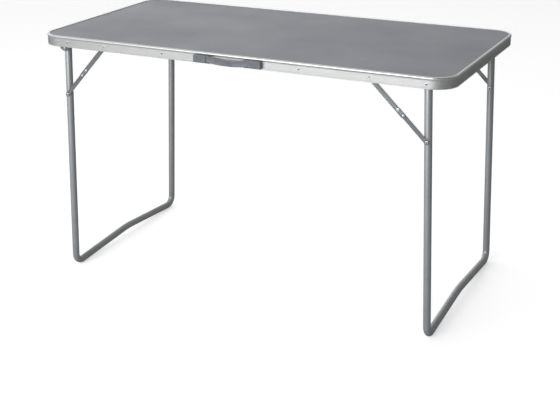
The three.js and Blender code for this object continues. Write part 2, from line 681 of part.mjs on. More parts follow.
// An end block: a cover over the strap's end, open behind the front wall and at its inner end.
function blockGeometry(out) {
  const outerEnd = BLOCK_INNER_END + BLOCK_LENGTH;
  const middle = out * (BLOCK_INNER_END + BLOCK_LENGTH / 2);
  const cover = plate(
    roundedRectangle(BLOCK_LENGTH / 2, BLOCK_HEIGHT / 2, BLOCK_CORNER),
    BLOCK_THICKNESS,
    outwards(CLEARANCE + BLOCK_THICKNESS),
  ).translate(middle, 0, 0);
  const halfSlot = STRAP_HEIGHT / 2 + CLEARANCE;
  const slot = (x0, x1, out0, out1) => box(Math.min(out * x0, out * x1), Math.max(out * x0, out * x1),
    outwards(out1), outwards(out0), -halfSlot, halfSlot);
  const floor = CLEARANCE + BLOCK_FLOOR;
  const wall = CLEARANCE + BLOCK_THICKNESS - BLOCK_FRONT_WALL;
  return cut(
    cover,
    slot(BLOCK_INNER_END - 1, outerEnd - BLOCK_END_WALL, floor, wall),
    slot(BLOCK_INNER_END - 1, BLOCK_INNER_END + BLOCK_WINDOW, floor, 2 * BLOCK_THICKNESS),
  );
}

// A strap half runs from its rounded bend at the grip into the block. Its body is thick up to the
// block's front wall, and its tail is thin enough to slide behind it.
function strapGeometry(out) {
  const half = STRAP_THICKNESS / 2;
  const outline = new THREE.Shape();
  outline.absarc(0, 0, half, Math.PI / 2, Math.PI / 2 + out * Math.PI, out < 0);
  outline.lineTo(0, -STRAP_BODY_REACH);
  outline.lineTo(out * STRAP_BODY_LENGTH, -STRAP_BODY_REACH);
  outline.lineTo(out * STRAP_BODY_LENGTH, -half);
  outline.lineTo(out * STRAP_LENGTH, -half);
  outline.lineTo(out * STRAP_LENGTH, half);
  outline.closePath();
  const geometry = new THREE.ExtrudeGeometry(outline, {
    depth: STRAP_HEIGHT, bevelEnabled: false, curveSegments: 4,
  });
  return geometry.translate(0, 0, -STRAP_HEIGHT / 2);
}

for (const { end, out } of ENDS) {
  add(table, `handle_block_${end}`, blockGeometry(out), GREY_PLASTIC).position.z = handleZ;
  const strap = add(table, `handle_strap_${end}`, strapGeometry(out), GREY_PLASTIC);
  strap.position.set(out * GRIP_HINGE, outwards(STRAP_STANDOFF), handleZ);
}

const gripEnd = GRIP_HINGE - STRAP_THICKNESS / 2 - CLEARANCE;
const gripOutline = roundedRectangle(gripEnd, GRIP_THICKNESS / 2, 1.5);
add(table, 'handle_grip', new THREE.ExtrudeGeometry(gripOutline, {
  depth: STRAP_HEIGHT, bevelEnabled: false, curveSegments: 3,
}).translate(0, outwards(GRIP_STANDOFF), handleZ - STRAP_HEIGHT / 2), GREY_PLASTIC);

export default table;
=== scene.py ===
"""A folding camping table: fine shapes, finishes, light and camera for its frame."""

import logging
import math
from dataclasses import dataclass, field, replace
from enum import Enum
from typing import Callable, ClassVar, Sequence

import bmesh
import bpy
from mathutils import Matrix, Vector


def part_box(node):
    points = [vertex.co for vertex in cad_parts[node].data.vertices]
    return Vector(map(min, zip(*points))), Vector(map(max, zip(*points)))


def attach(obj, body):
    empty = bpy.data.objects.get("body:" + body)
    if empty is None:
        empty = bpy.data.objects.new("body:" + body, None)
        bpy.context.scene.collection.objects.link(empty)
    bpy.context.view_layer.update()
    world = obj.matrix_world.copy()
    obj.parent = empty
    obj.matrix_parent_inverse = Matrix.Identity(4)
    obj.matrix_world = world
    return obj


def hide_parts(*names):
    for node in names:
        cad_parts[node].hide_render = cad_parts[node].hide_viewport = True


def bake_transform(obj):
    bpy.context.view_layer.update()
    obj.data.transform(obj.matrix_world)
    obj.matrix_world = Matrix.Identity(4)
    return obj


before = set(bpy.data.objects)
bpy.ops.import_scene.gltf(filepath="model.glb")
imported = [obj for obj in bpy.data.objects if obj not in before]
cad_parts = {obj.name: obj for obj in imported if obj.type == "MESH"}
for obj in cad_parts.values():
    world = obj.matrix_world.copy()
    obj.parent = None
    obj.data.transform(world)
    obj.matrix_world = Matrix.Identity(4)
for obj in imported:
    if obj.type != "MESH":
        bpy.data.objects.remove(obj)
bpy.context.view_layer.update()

log = logging.getLogger("folding_table")

MM = 0.001
SHARP = math.radians(35)
TURNED_SHARP = math.radians(40)
TUBE_SHARP = math.radians(50)
TOUCH = 1e-6
SLIVER = 0.005 * MM

Point = Sequence[float]
Pair = tuple[float, float]
Triple = tuple[float, float, float]
Color = tuple[float, float, float, float]
Test = Callable[[Vector], bool]
Socket = bpy.types.NodeSocket
Outputs = bpy.types.NodeOutputs


class Side(Enum):
    """A long side of the table, valued by its direction along Y."""

    FRONT = -1
    BACK = 1

    @property
    def word(self) -> str:
        """The side as node names spell it."""
        return self.name.lower()


class End(Enum):
    """An end of the table, valued by its direction along X."""

    LEFT = -1
    RIGHT = 1

    @property
    def word(self) -> str:
        """The end as node and body names spell it."""
        return self.name.lower()


# ---- Working on one mesh at a time, as by hand ----


def select_only(piece: bpy.types.Object) -> None:
    """Leaves one object selected and active.

    Args:
        piece: The object to work on.
    """
    bpy.ops.object.select_all(action="DESELECT")
    piece.select_set(True)
    bpy.context.view_layer.objects.active = piece


def begin_edit(piece: bpy.types.Object) -> None:
    """Opens a piece in edit mode with everything selected.

    Args:
        piece: The object to edit.
    """
    select_only(piece)
    bpy.ops.object.mode_set(mode="EDIT")
    bpy.ops.mesh.select_mode(type="VERT")
    bpy.ops.mesh.select_all(action="SELECT")


def end_edit() -> None:
    """Goes back to object mode."""
    bpy.ops.object.mode_set(mode="OBJECT")


def pick(mode: str, test: Test) -> None:
    """Selects the vertices or faces of the edited mesh that pass a test.

    Args:
        mode: "VERT" or "FACE".
        test: Takes a vertex's place or a face's middle and says whether it is wanted.
    """
    bpy.ops.mesh.select_mode(type=mode)
    bpy.ops.mesh.select_all(action="DESELECT")
    mesh = bpy.context.edit_object.data
    shape = bmesh.from_edit_mesh(mesh)
    if mode == "VERT":
        for vertex in shape.verts:
            vertex.select = test(vertex.co)
    else:
        for face in shape.faces:
            face.select = test(face.calc_center_median())
    shape.select_flush_mode()
    bmesh.update_edit_mesh(mesh)


def fix_place(piece: bpy.types.Object, place: Matrix | None = None) -> None:
    """Puts an object's transform, and then a further one, into its mesh.

    Args:
        piece: The object, left at the origin and unturned.
        place: Where the finished mesh goes, or None to leave it where it was modelled.
    """
    piece.data.transform(piece.matrix_basis)
    piece.matrix_basis = Matrix.Identity(4)
    if place is not None:
        piece.data.transform(place)
    piece.data.update()


def apply_modifier(piece: bpy.types.Object, kind: str, **settings: object) -> None:
    """Adds a modifier and applies it.

    Args:
        piece: The object to change.
        kind: The modifier's type.
        **settings: Its properties.
    """
    select_only(piece)
    modifier = piece.modifiers.new(kind.title(), kind)
    for name, value in settings.items():
        setattr(modifier, name, value)
    bpy.ops.object.modifier_apply(modifier=modifier.name)


def drop_slivers(piece: bpy.types.Object) -> None:
    """Merges doubled vertices and dissolves faces without area.

    Args:
        piece: The object to clean.
    """
    begin_edit(piece)
    bpy.ops.mesh.remove_doubles(threshold=SLIVER)
    bpy.ops.mesh.dissolve_degenerate(threshold=SLIVER)
    end_edit()


def bevel(piece: bpy.types.Object, width: float, segments: int, angle: float) -> None:
    """Bevels a piece's edges.

    Args:
        piece: The object to change.
        width: How far the bevel reaches from each edge.
        segments: Faces across it.
        angle: Edges flatter than this are left alone.
    """
    apply_modifier(piece, "BEVEL", width=width, segments=segments,
                   limit_method="ANGLE", angle_limit=angle)


def round_edges(piece: bpy.types.Object, width: float) -> None:
    """Rounds a piece's sharp edges a little and cleans its mesh.

    Args:
        piece: The object to change.
        width: How far the rounding reaches from each edge.
    """
    drop_slivers(piece)
    bevel(piece, width, segments=2, angle=SHARP)
    drop_slivers(piece)


def combine(piece: bpy.types.Object, tool: bpy.types.Object,
            operation: str = "DIFFERENCE", **settings: object) -> None:
    """Cuts a tool's shape out of a piece, or joins it on, and discards the tool.

    Args:
        piece: The object to change.
        tool: The object that is taken away or joined.
        operation: "DIFFERENCE" or "UNION".
        **settings: Further properties of the modifier.
    """
    apply_modifier(piece, "BOOLEAN", operation=operation, object=tool,
                   solver="EXACT", **settings)
    bpy.data.objects.remove(tool)


def extrude(move: Point) -> None:
    """Draws the edited mesh's selection out.

    Args:
        move: How far and which way.
    """
    bpy.ops.mesh.extrude_region_move(TRANSFORM_OT_translate={"value": move})


def sink_front(front: float, border: float, slope: float, depth: float) -> None:
    """Sinks the edited mesh's front faces inside a flat and a sloping border.

    Args:
        front: How far along Y they are.
        border: The flat border's width.
        slope: The sloping border's width.
        depth: How far they sink along Y.
    """
    pick("FACE", lambda place: place.y < front + TOUCH)
    bpy.ops.mesh.inset(thickness=border, depth=0)
    bpy.ops.mesh.inset(thickness=slope, depth=0)
    bpy.ops.transform.translate(value=(0, depth, 0))


def face_outwards(piece: bpy.types.Object) -> None:
    """Merges doubled vertices and turns every face outwards.

    Args:
        piece: The object to change.
    """
    begin_edit(piece)
    bpy.ops.mesh.remove_doubles(threshold=TOUCH)
    bpy.ops.mesh.normals_make_consistent(inside=False)
    end_edit()


def smooth(piece: bpy.types.Object, angle: float = SHARP) -> None:
    """Shades a piece smooth across its soft edges.

    Args:
        piece: The object to shade.
        angle: Edges sharper than this stay sharp.
    """
    select_only(piece)
    bpy.ops.object.shade_smooth_by_angle(angle=angle)


def add_block(low: Point, high: Point) -> bpy.types.Object:
    """Starts a piece from a cube stretched between two corners.

    Args:
        low: The lowest corner.
        high: The highest corner.

    Returns:
        The new object, its place in its mesh.
    """
    corner, opposite = Vector(low), Vector(high)
    bpy.ops.mesh.primitive_cube_add(
        size=1, location=(corner + opposite) / 2, scale=opposite - corner
    )
    block = bpy.context.object
    fix_place(block)
    return block


def add_drill(centre: Point, radius: float, depth: float,
              sides: int = 48) -> bpy.types.Object:
    """Starts a round piece lying along Y.

    Args:
        centre: Its middle.
        radius: Its radius.
        depth: Its length along Y.
        sides: Faces around it.

    Returns:
        The new object, its place in its mesh.
    """
    bpy.ops.mesh.primitive_cylinder_add(
        vertices=sides, radius=radius, depth=depth, location=centre,
        rotation=(math.pi / 2, 0, 0),
    )
    drill = bpy.context.object
    fix_place(drill)
    return drill


def copy_of(piece: bpy.types.Object, place: Matrix) -> bpy.types.Object:
    """Copies a piece with its own mesh.

    Args:
        piece: The object to copy.
        place: What is done to the copy's mesh.

    Returns:
        The copy.
    """
    twin = piece.copy()
    twin.data = piece.data.copy()
    bpy.context.collection.objects.link(twin)
    twin.data.transform(place)
    if place.determinant() < 0:
        twin.data.flip_normals()
    return twin


def corners_of(node: str) -> tuple[Vector, Vector]:
    """The lowest and highest corners of a node at rest."""
    low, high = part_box(node)
    return Vector(low), Vector(high)


def middle_of(node: str) -> Vector:
    """The middle of a node's box at rest."""
    low, high = corners_of(node)
    return (low + high) / 2


# ---- Materials ----


class Tree:
    """A node tree being filled, with short ways to add and join nodes."""

    def __init__(self, tree: bpy.types.NodeTree) -> None:
        """Keeps the tree that is filled."""
        self.tree = tree

    def add(self, kind: str, inputs: dict | None = None,
            **settings: object) -> bpy.types.Node:
        """Adds a node.

        Args:
            kind: Its type, without the ShaderNode prefix.
            inputs: Values or sockets for its inputs, by name or number.
            **settings: Its properties.

        Returns:
            The node.
        """
        node = self.tree.nodes.new(f"ShaderNode{kind}")
        for name, value in settings.items():
            setattr(node, name, value)
        for key, value in (inputs or {}).items():
            self.feed(node.inputs[key], value)
        return node

    def feed(self, socket: Socket, value: object) -> None:
        """Joins a socket to an input, or sets the input's own value.

        Args:
            socket: The input.
            value: The socket or value that it gets.
        """
        if isinstance(value, Socket):
            self.tree.links.new(value, socket)
        else:
            socket.default_value = value

    def maths(self, operation: str, first: object, second: object = 0.0) -> Socket:
        """Adds a sum on one or two values and returns its output."""
        inputs = {0: first, 1: second}
        return self.add("Math", inputs, operation=operation).outputs[0]

    def mix(self, share: object, first: object, second: object) -> Socket:
        """Adds a mix of two colours, the second one's share given, and returns it."""
        inputs = {0: share, 6: first, 7: second}
        return self.add("Mix", inputs, data_type="RGBA").outputs[2]

    def spread(self, value: object, low: float, high: float, start: object = 0.0,
               stop: object = 1.0) -> Socket:
        """Maps a value from one range to another, clamped.

        Args:
            value: The value.
            low: Where its range starts.
            high: Where its range stops.
            start: The result at low and below.
            stop: The result at high and above.

        Returns:
            The result.
        """
        inputs = {"Value": value, "From Min": low, "From Max": high,
                  "To Min": start, "To Max": stop}
        return self.add("MapRange", inputs).outputs["Result"]


class PatternGroup:
    """A shader node group built once and placed in any material that uses it."""

    name: ClassVar[str]
    inputs: ClassVar[dict[str, str]]
    outputs: ClassVar[dict[str, str]]
    reach: ClassVar[tuple[float, float]] = (0.0, 1.0)

    @classmethod
    def tree(cls) -> bpy.types.NodeTree:
        """Finds the group's node tree, and makes it at its first use.

        Returns:
            The node tree.
        """
        known = bpy.data.node_groups.get(cls.name)
        if known:
            return known
        made = bpy.data.node_groups.new(cls.name, "ShaderNodeTree")
        for in_out, sockets in (("INPUT", cls.inputs), ("OUTPUT", cls.outputs)):
            for label, kind in sockets.items():
                made.interface.new_socket(
                    label, in_out=in_out, socket_type=f"NodeSocket{kind}"
                )
        inner = Tree(made)
        source = made.nodes.new("NodeGroupInput")
        target = made.nodes.new("NodeGroupOutput")
        for label, socket in cls.fill(inner, source.outputs).items():
            made.links.new(socket, target.inputs[label])
        return made

    @classmethod
    def fill(cls, inner: Tree, given: Outputs) -> dict[str, Socket]:
        """Fills the group and returns what feeds each of its outputs."""
        raise NotImplementedError

    @classmethod
    def place(cls, tree: Tree, **values: object) -> Outputs:
        """Puts the group in a material.

        Args:
            tree: The material's tree.
            **values: Its inputs, by name in lower case.

        Returns:
            The group node's outputs.
        """
        node = tree.tree.nodes.new("ShaderNodeGroup")
        node.node_tree = cls.tree()
        for label, value in values.items():
            tree.feed(node.inputs[label.title()], value)
        return node.outputs


class CloudedTone(PatternGroup):
    """Two colours drifting into each other over the surface."""

    name = "clouded_tone"
    inputs = {"Vector": "Vector", "Scale": "Float", "Light": "Color", "Dark": "Color"}
    outputs = {"Color": "Color"}
    reach = (0.32, 0.68)

    @classmethod
    def fill(cls, inner: Tree, given: Outputs) -> dict[str, Socket]:
        """Mixes the colours by a slow noise.

        Args:
            inner: The group's tree.
            given: The group's inputs.

        Returns:
            What feeds each output.
        """
        noise = inner.add("TexNoise", {
            "Vector": given["Vector"], "Scale": given["Scale"], "Detail": 5.0,
            "Roughness": 0.6,
        })
        share = inner.spread(noise.outputs["Fac"], *cls.reach)
        return {"Color": inner.mix(share, given["Dark"], given["Light"])}


class FineGrain(PatternGroup):
    """A fine even texture of moulded or sprayed surfaces, as a height."""

    name = "fine_grain"
    inputs = {"Vector": "Vector", "Scale": "Float"}
    outputs = {"Height": "Float"}
    finer: ClassVar[float] = 2.3

    @classmethod
    def fill(cls, inner: Tree, given: Outputs) -> dict[str, Socket]:
        """Sums rounded cells and a finer noise.

        Args:
            inner: The group's tree.
            given: The group's inputs.

        Returns:
            What feeds each output.
        """
        cells = inner.add("TexVoronoi", {
            "Vector": given["Vector"], "Scale": given["Scale"], "Randomness": 1.0,
        }, feature="SMOOTH_F1")
        fine = inner.add("TexNoise", {
            "Vector": given["Vector"], "Detail": 3.0,
            "Scale": inner.maths("MULTIPLY", given["Scale"], cls.finer),
        })
        half = inner.maths("MULTIPLY", fine.outputs["Fac"], 0.5)
        return {"Height": inner.maths("ADD", cells.outputs["Distance"], half)}


class DrawnLines(PatternGroup):
    """Fine lines left by drawing or brushing, along the axis with the least stretch."""

    name = "drawn_lines"
    inputs = {"Vector": "Vector", "Stretch": "Vector", "Scale": "Float"}
    outputs = {"Height": "Float", "Mask": "Float"}
    reach = (0.35, 0.65)

    @classmethod
    def fill(cls, inner: Tree, given: Outputs) -> dict[str, Socket]:
        """Stretches a noise into lines.

        Args:
            inner: The group's tree.
            given: The group's inputs.

        Returns:
            What feeds each output.
        """
        stretched = inner.add("VectorMath", {0: given["Vector"], 1: given["Stretch"]},
                              operation="MULTIPLY").outputs[0]
        lines = inner.add("TexNoise", {
            "Vector": stretched, "Scale": given["Scale"], "Detail": 6.0,
            "Roughness": 0.65,
        }).outputs["Fac"]
        return {"Height": lines, "Mask": inner.spread(lines, *cls.reach)}


class Scratches(PatternGroup):
    """Sparse hairline scratches in two directions, as a mask."""

    name = "scratches"
    inputs = {"Vector": "Vector", "Scale": "Float"}
    outputs = {"Mask": "Float"}
    reach = (0.52, 0.66)
    turns_and_scales: ClassVar[tuple] = ((0.35, 1.0), (-0.9, 1.35))
    hair: ClassVar[float] = 0.006
    patch_scale: ClassVar[float] = 0.7

    @classmethod
    def fill(cls, inner: Tree, given: Outputs) -> dict[str, Socket]:
        """Keeps the thin edges of two sets of long cells, broken up by a noise.

        Args:
            inner: The group's tree.
            given: The group's inputs.

        Returns:
            What feeds each output.
        """
        masks = []
        for turn, scale in cls.turns_and_scales:
            turned = inner.add("Mapping", {
                "Vector": given["Vector"], "Rotation": (0.0, 0.0, turn),
                "Scale": (0.12, 1.0, 1.0),
            }).outputs[0]
            warp = inner.add("TexNoise", {"Vector": turned, "Scale": 2.0})
            bent = inner.add("VectorMath", {
                0: warp.outputs["Color"], 1: (0.3, 0.3, 0.3), 2: turned,
            }, operation="MULTIPLY_ADD")
            cells = inner.add("TexVoronoi", {
                "Vector": bent.outputs[0],
                "Scale": inner.maths("MULTIPLY", given["Scale"], scale),
            }, feature="DISTANCE_TO_EDGE")
            edge = cells.outputs["Distance"]
            masks.append(inner.spread(edge, 0.0, cls.hair, 1.0, 0.0))
        patches = inner.add("TexNoise", {
            "Vector": given["Vector"],
            "Scale": inner.maths("MULTIPLY", given["Scale"], cls.patch_scale),
        })
        some = inner.spread(patches.outputs["Fac"], *cls.reach)
        both = inner.maths("MAXIMUM", *masks)
        return {"Mask": inner.maths("MULTIPLY", both, some)}


class Smudges(PatternGroup):
    """Uneven sheen from handling, as a value between two roughnesses."""

    name = "smudges"
    inputs = {"Vector": "Vector", "Scale": "Float", "Smooth": "Float", "Rough": "Float"}
    outputs = {"Roughness": "Float"}
    reach = (0.3, 0.7)

    @classmethod
    def fill(cls, inner: Tree, given: Outputs) -> dict[str, Socket]:
        """Spreads a noise between the two roughnesses.

        Args:
            inner: The group's tree.
            given: The group's inputs.

        Returns:
            What feeds each output.
        """
        noise = inner.add("TexNoise", {
            "Vector": given["Vector"], "Scale": given["Scale"], "Detail": 8.0,
            "Roughness": 0.62,
        }).outputs["Fac"]
        between = (given["Smooth"], given["Rough"])
        return {"Roughness": inner.spread(noise, *cls.reach, *between)}


def new_material(name: str) -> tuple[Tree, bpy.types.Material, Socket]:
    """Starts a material.

    Args:
        name: Its name.

    Returns:
        Its tree, the material, and the Object coordinates that its patterns read.
    """
    material = bpy.data.materials.new(name)
    material.use_nodes = True
    material.node_tree.nodes.clear()
    tree = Tree(material.node_tree)
    place = tree.add("TexCoord").outputs["Object"]
    return tree, material, place


@dataclass(frozen=True)
class Surface:
    """The even values of a shader, set on its own sockets."""

    metallic: float = 0.0
    coat: float = 0.0
    coat_roughness: float = 0.1
    ior: float = 1.5

    def close(self, tree: Tree, color: Socket, roughness: Socket,
              normal: Socket) -> bpy.types.Node:
        """Adds the shader and the output, fed by the patterns.

        Args:
            tree: The material's tree.
            color: What feeds the base colour.
            roughness: What feeds the roughness.
            normal: What feeds the normal.

        Returns:
            The shader.
        """
        shader = tree.add("BsdfPrincipled", {
            "Base Color": color, "Roughness": roughness, "Normal": normal,
            "Metallic": self.metallic, "Coat Weight": self.coat,
            "Coat Roughness": self.coat_roughness, "IOR": self.ior,
        })
        tree.add("OutputMaterial", {"Surface": shader.outputs[0]})
        return shader


@dataclass(frozen=True)
class Finish:
    """What most finishes share: drifting tones, a handled sheen and a fine relief.

    The scales are pattern sizes per metre, and the relief is a depth in metres.
    """

    name: str
    light: Color
    dark: Color
    tone_scale: float
    smooth: float
    rough: float
    grain_scale: float
    relief: float
    surface: Surface
    sheen_scale: float = 11.0

    def tone(self, tree: Tree, place: Socket) -> Socket:
        """Adds the two drifting tones.

        Args:
            tree: The material's tree.
            place: The coordinates that the pattern reads.

        Returns:
            The colour.
        """
        return CloudedTone.place(
            tree, vector=place, scale=self.tone_scale, light=self.light, dark=self.dark
        )["Color"]

    def sheen(self, tree: Tree, place: Socket) -> Socket:
        """Adds the uneven sheen.

        Args:
            tree: The material's tree.
            place: The coordinates that the pattern reads.

        Returns:
            The roughness.
        """
        return Smudges.place(
            tree, vector=place, scale=self.sheen_scale, smooth=self.smooth,
            rough=self.rough,
        )["Roughness"]

    def grained(self, tree: Tree, place: Socket) -> Socket:
        """Adds the fine grain and returns the normal that it gives."""
        grain = FineGrain.place(tree, vector=place, scale=self.grain_scale)
        return self.bump(tree, grain["Height"])

    def bump(self, tree: Tree, height: Socket) -> Socket:
        """Turns a height from 0 to 1 into a normal as deep as the relief."""
        inputs = {"Height": height, "Strength": 1.0, "Distance": self.relief}
        return tree.add("Bump", inputs).outputs["Normal"]


@dataclass(frozen=True)
class LaminateFinish(Finish):
    """The board: a satin slate-grey laminate above, a pale backing sheet below."""

    name: str = "laminate"
    light: Color = (0.206, 0.215, 0.252, 1.0)
    dark: Color = (0.182, 0.191, 0.225, 1.0)
    tone_scale: float = 3.0
    sheen_scale: float = 4.0
    smooth: float = 0.34
    rough: float = 0.46
    grain_scale: float = 900.0
    relief: float = 0.04 * MM
    surface: Surface = Surface(ior=1.5)
    backing: Color = (0.62, 0.62, 0.61, 1.0)
    fleck: Color = (0.25, 0.257, 0.28, 1.0)
    fleck_share: float = 0.12
    fleck_scale: float = 8.0
    fleck_stretch: Triple = (3.0, 60.0, 10.0)
    scratch: Color = (0.3, 0.3, 0.31, 1.0)
    scratch_share: float = 0.25
    scratch_scale: float = 5.0

    def make(self) -> bpy.types.Material:
        """Builds the material.

        Returns:
            The material.
        """
        tree, material, place = new_material(self.name)
        pores = DrawnLines.place(tree, vector=place, stretch=self.fleck_stretch,
                                 scale=self.fleck_scale)["Mask"]
        flecks = tree.maths("MULTIPLY", pores, self.fleck_share)
        flecked = tree.mix(flecks, self.tone(tree, place), self.fleck)
        marks = Scratches.place(tree, vector=place, scale=self.scratch_scale)["Mask"]
        worn = tree.mix(tree.maths("MULTIPLY", marks, self.scratch_share), flecked,
                        self.scratch)
        normal = tree.add("NewGeometry").outputs["Normal"]
        up = tree.add("SeparateXYZ", {0: normal}).outputs["Z"]
        above = tree.maths("GREATER_THAN", up, 0.0)
        color = tree.mix(above, self.backing, worn)
        self.surface.close(tree, color, self.sheen(tree, place),
                           self.grained(tree, place))
        return material


@dataclass(frozen=True)
class DrawnMetalFinish(Finish):
    """Bare or anodised metal with fine lines along one direction."""

    tone_scale: float = 9.0
    smooth: float = 0.28
    rough: float = 0.42
    grain_scale: float = 30.0
    relief: float = 0.02 * MM
    surface: Surface = Surface(metallic=0.9)
    stretch: Triple = (30.0, 30.0, 30.0)
    line_share: float = 0.3
    scratch_scale: float = 14.0
    scratch_roughness: float = 0.2

    def make(self) -> bpy.types.Material:
        """Builds the material.

        Returns:
            The material.
        """
        tree, material, place = new_material(self.name)
        lines = DrawnLines.place(tree, vector=place, stretch=self.stretch,
                                 scale=self.grain_scale)
        share = tree.maths("MULTIPLY", lines["Mask"], self.line_share)
        color = tree.mix(share, self.tone(tree, place), self.dark)
        marks = Scratches.place(tree, vector=place, scale=self.scratch_scale)["Mask"]
        scuffs = tree.maths("MULTIPLY", marks, self.scratch_roughness)
        scuffed = tree.maths("ADD", self.sheen(tree, place), scuffs)
        self.surface.close(tree, color, scuffed, self.bump(tree, lines["Height"]))
        return material


@dataclass(frozen=True)
class CoatedTubeFinish(Finish):
    """Powder-coated tube: orange peel, a soft gloss, rubbed patches near the floor."""

    name: str = "coated_tube"
    light: Color = (0.380, 0.398, 0.412, 1.0)
    dark: Color = (0.342, 0.359, 0.372, 1.0)
    tone_scale: float = 14.0
    sheen_scale: float = 18.0
    smooth: float = 0.34
    rough: float = 0.46
    grain_scale: float = 420.0
    relief: float = 0.05 * MM
    surface: Surface = Surface(metallic=0.35, coat=0.25, coat_roughness=0.22)
    rubbed: Color = (0.42, 0.43, 0.44, 1.0)
    rub_scale: float = 22.0
    rub_everywhere: float = 0.15
    rub_height: float = 50 * MM

    def make(self) -> bpy.types.Material:
        """Builds the material.

        Returns:
            The material.
        """
        tree, material, place = new_material(self.name)
        height = tree.add("SeparateXYZ", {0: place}).outputs["Z"]
        low = tree.spread(height, 0.0, self.rub_height, 1.0, 0.0)
        marks = Scratches.place(tree, vector=place, scale=self.rub_scale)["Mask"]
        rub = tree.maths("MULTIPLY", marks, tree.maths("ADD", low, self.rub_everywhere))
        color = tree.mix(rub, self.tone(tree, place), self.rubbed)
        self.surface.close(tree, color, self.sheen(tree, place),
                           self.grained(tree, place))
        return material


@dataclass(frozen=True)
class MouldedPlasticFinish(Finish):
    """Moulded plastic with a fine spark-eroded grain."""

    tone_scale: float = 40.0
    sheen_scale: float = 45.0
    smooth: float = 0.42
    rough: float = 0.56
    grain_scale: float = 1500.0
    relief: float = 0.03 * MM
    surface: Surface = Surface(ior=1.49)

    def make(self) -> bpy.types.Material:
        """Builds the material.

        Returns:
            The material.
        """
        tree, material, place = new_material(self.name)
        self.surface.close(tree, self.tone(tree, place), self.sheen(tree, place),
                           self.grained(tree, place))
        return material


@dataclass(frozen=True)
class SpangledZincFinish(Finish):
    """Zinc-plated sheet with a faint crystal pattern."""

    name: str = "spangled_zinc"
    light: Color = (0.60, 0.61, 0.62, 1.0)
    dark: Color = (0.46, 0.475, 0.485, 1.0)
    tone_scale: float = 160.0
    smooth: float = 0.32
    rough: float = 0.48
    grain_scale: float = 700.0
    relief: float = 0.02 * MM
    surface: Surface = Surface(metallic=0.85)

    def make(self) -> bpy.types.Material:
        """Builds the material.

        Returns:
            The material.
        """
        tree, material, place = new_material(self.name)
        cells = tree.add("TexVoronoi", {"Vector": place, "Scale": self.tone_scale})
        shade = tree.add("SeparateColor", {0: cells.outputs["Color"]}).outputs[0]
        color = tree.mix(shade, self.dark, self.light)
        sheen = tree.spread(shade, 0.0, 1.0, self.smooth, self.rough)
        self.surface.close(tree, color, sheen, self.grained(tree, place))
        return material


class Finishes:
    """Every material of the table, made once."""

    def __init__(self) -> None:
        """Builds them all, keyed by the record's slots."""
        laminate = LaminateFinish()
        anodised = DrawnMetalFinish(
            "anodised", (0.74, 0.745, 0.74, 1.0), (0.67, 0.675, 0.675, 1.0),
            stretch=(1.5, 1.5, 90.0), smooth=0.30, rough=0.40,
        )
        strip = DrawnMetalFinish(
            "steel_strip", (0.235, 0.25, 0.26, 1.0), (0.185, 0.20, 0.21, 1.0),
            stretch=(12.0, 12.0, 30.0), grain_scale=40.0, smooth=0.34, rough=0.5,
            surface=Surface(metallic=0.75),
        )
        rivet = DrawnMetalFinish(
            "bright_rivet", (0.82, 0.83, 0.84, 1.0), (0.66, 0.67, 0.68, 1.0),
            grain_scale=60.0, smooth=0.16, rough=0.28, surface=Surface(metallic=1.0),
        )
        # Near-black painted shade for the insides of rivet pits, together with the stem
        # that sits there.
        mandrel_and_painted_shade = DrawnMetalFinish(
            "mandrel_and_painted_shade", (0.045, 0.047, 0.05, 1.0), (0.02, 0.021, 0.023, 1.0),
            grain_scale=60.0, smooth=0.4, rough=0.6, surface=Surface(metallic=0.5),
        )
        grey = MouldedPlasticFinish(
            "grey_plastic", (0.200, 0.212, 0.240, 1.0), (0.170, 0.181, 0.206, 1.0)
        )
        black = MouldedPlasticFinish(
            "black_plastic", (0.035, 0.036, 0.038, 1.0), (0.022, 0.023, 0.025, 1.0)
        )
        self.by_slot: dict[str, bpy.types.Material] = {
            finish.name: finish.make()
            for finish in (laminate, anodised, strip, rivet, mandrel_and_painted_shade, grey, black)
        }
        self.by_slot["zinc"] = SpangledZincFinish().make()
        self.by_slot["grey_paint"] = CoatedTubeFinish().make()

    def dress(self, piece: bpy.types.Object, slot: str) -> None:
        """Gives a piece one of the materials.

        Args:
            piece: The object to dress.
            slot: The record's material slot.
        """
        if piece.data.materials:
            piece.data.materials[0] = self.by_slot[slot]
        else:
            piece.data.materials.append(self.by_slot[slot])


@dataclass
class Assembly:
    """A sub-assembly that builds its pieces and puts them on their bodies."""

    finishes: Finishes

    def settle(self, piece: bpy.types.Object, name: str, body: str, slot: str,
               stands_for: Sequence[str]) -> bpy.types.Object:
        """Names, dresses and mounts a finished piece.

        Args:
            piece: The object, its place already in its mesh.
            name: Its name.
            body: The body that it rides on, or "" for a piece that is mounted on no
                body here.
            slot: The record's material slot.
            stands_for: The nodes that it replaces.

        Returns:
            The piece.
        """
        piece.name = name
        piece.data.name = name
        self.finishes.dress(piece, slot)
        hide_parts(*stands_for)
        if body:
            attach(piece, body)
        faces = len(piece.data.polygons)
        log.info("%s: %d faces on %s", name, faces, body or "two bodies")
        return piece


# ---- Top ----


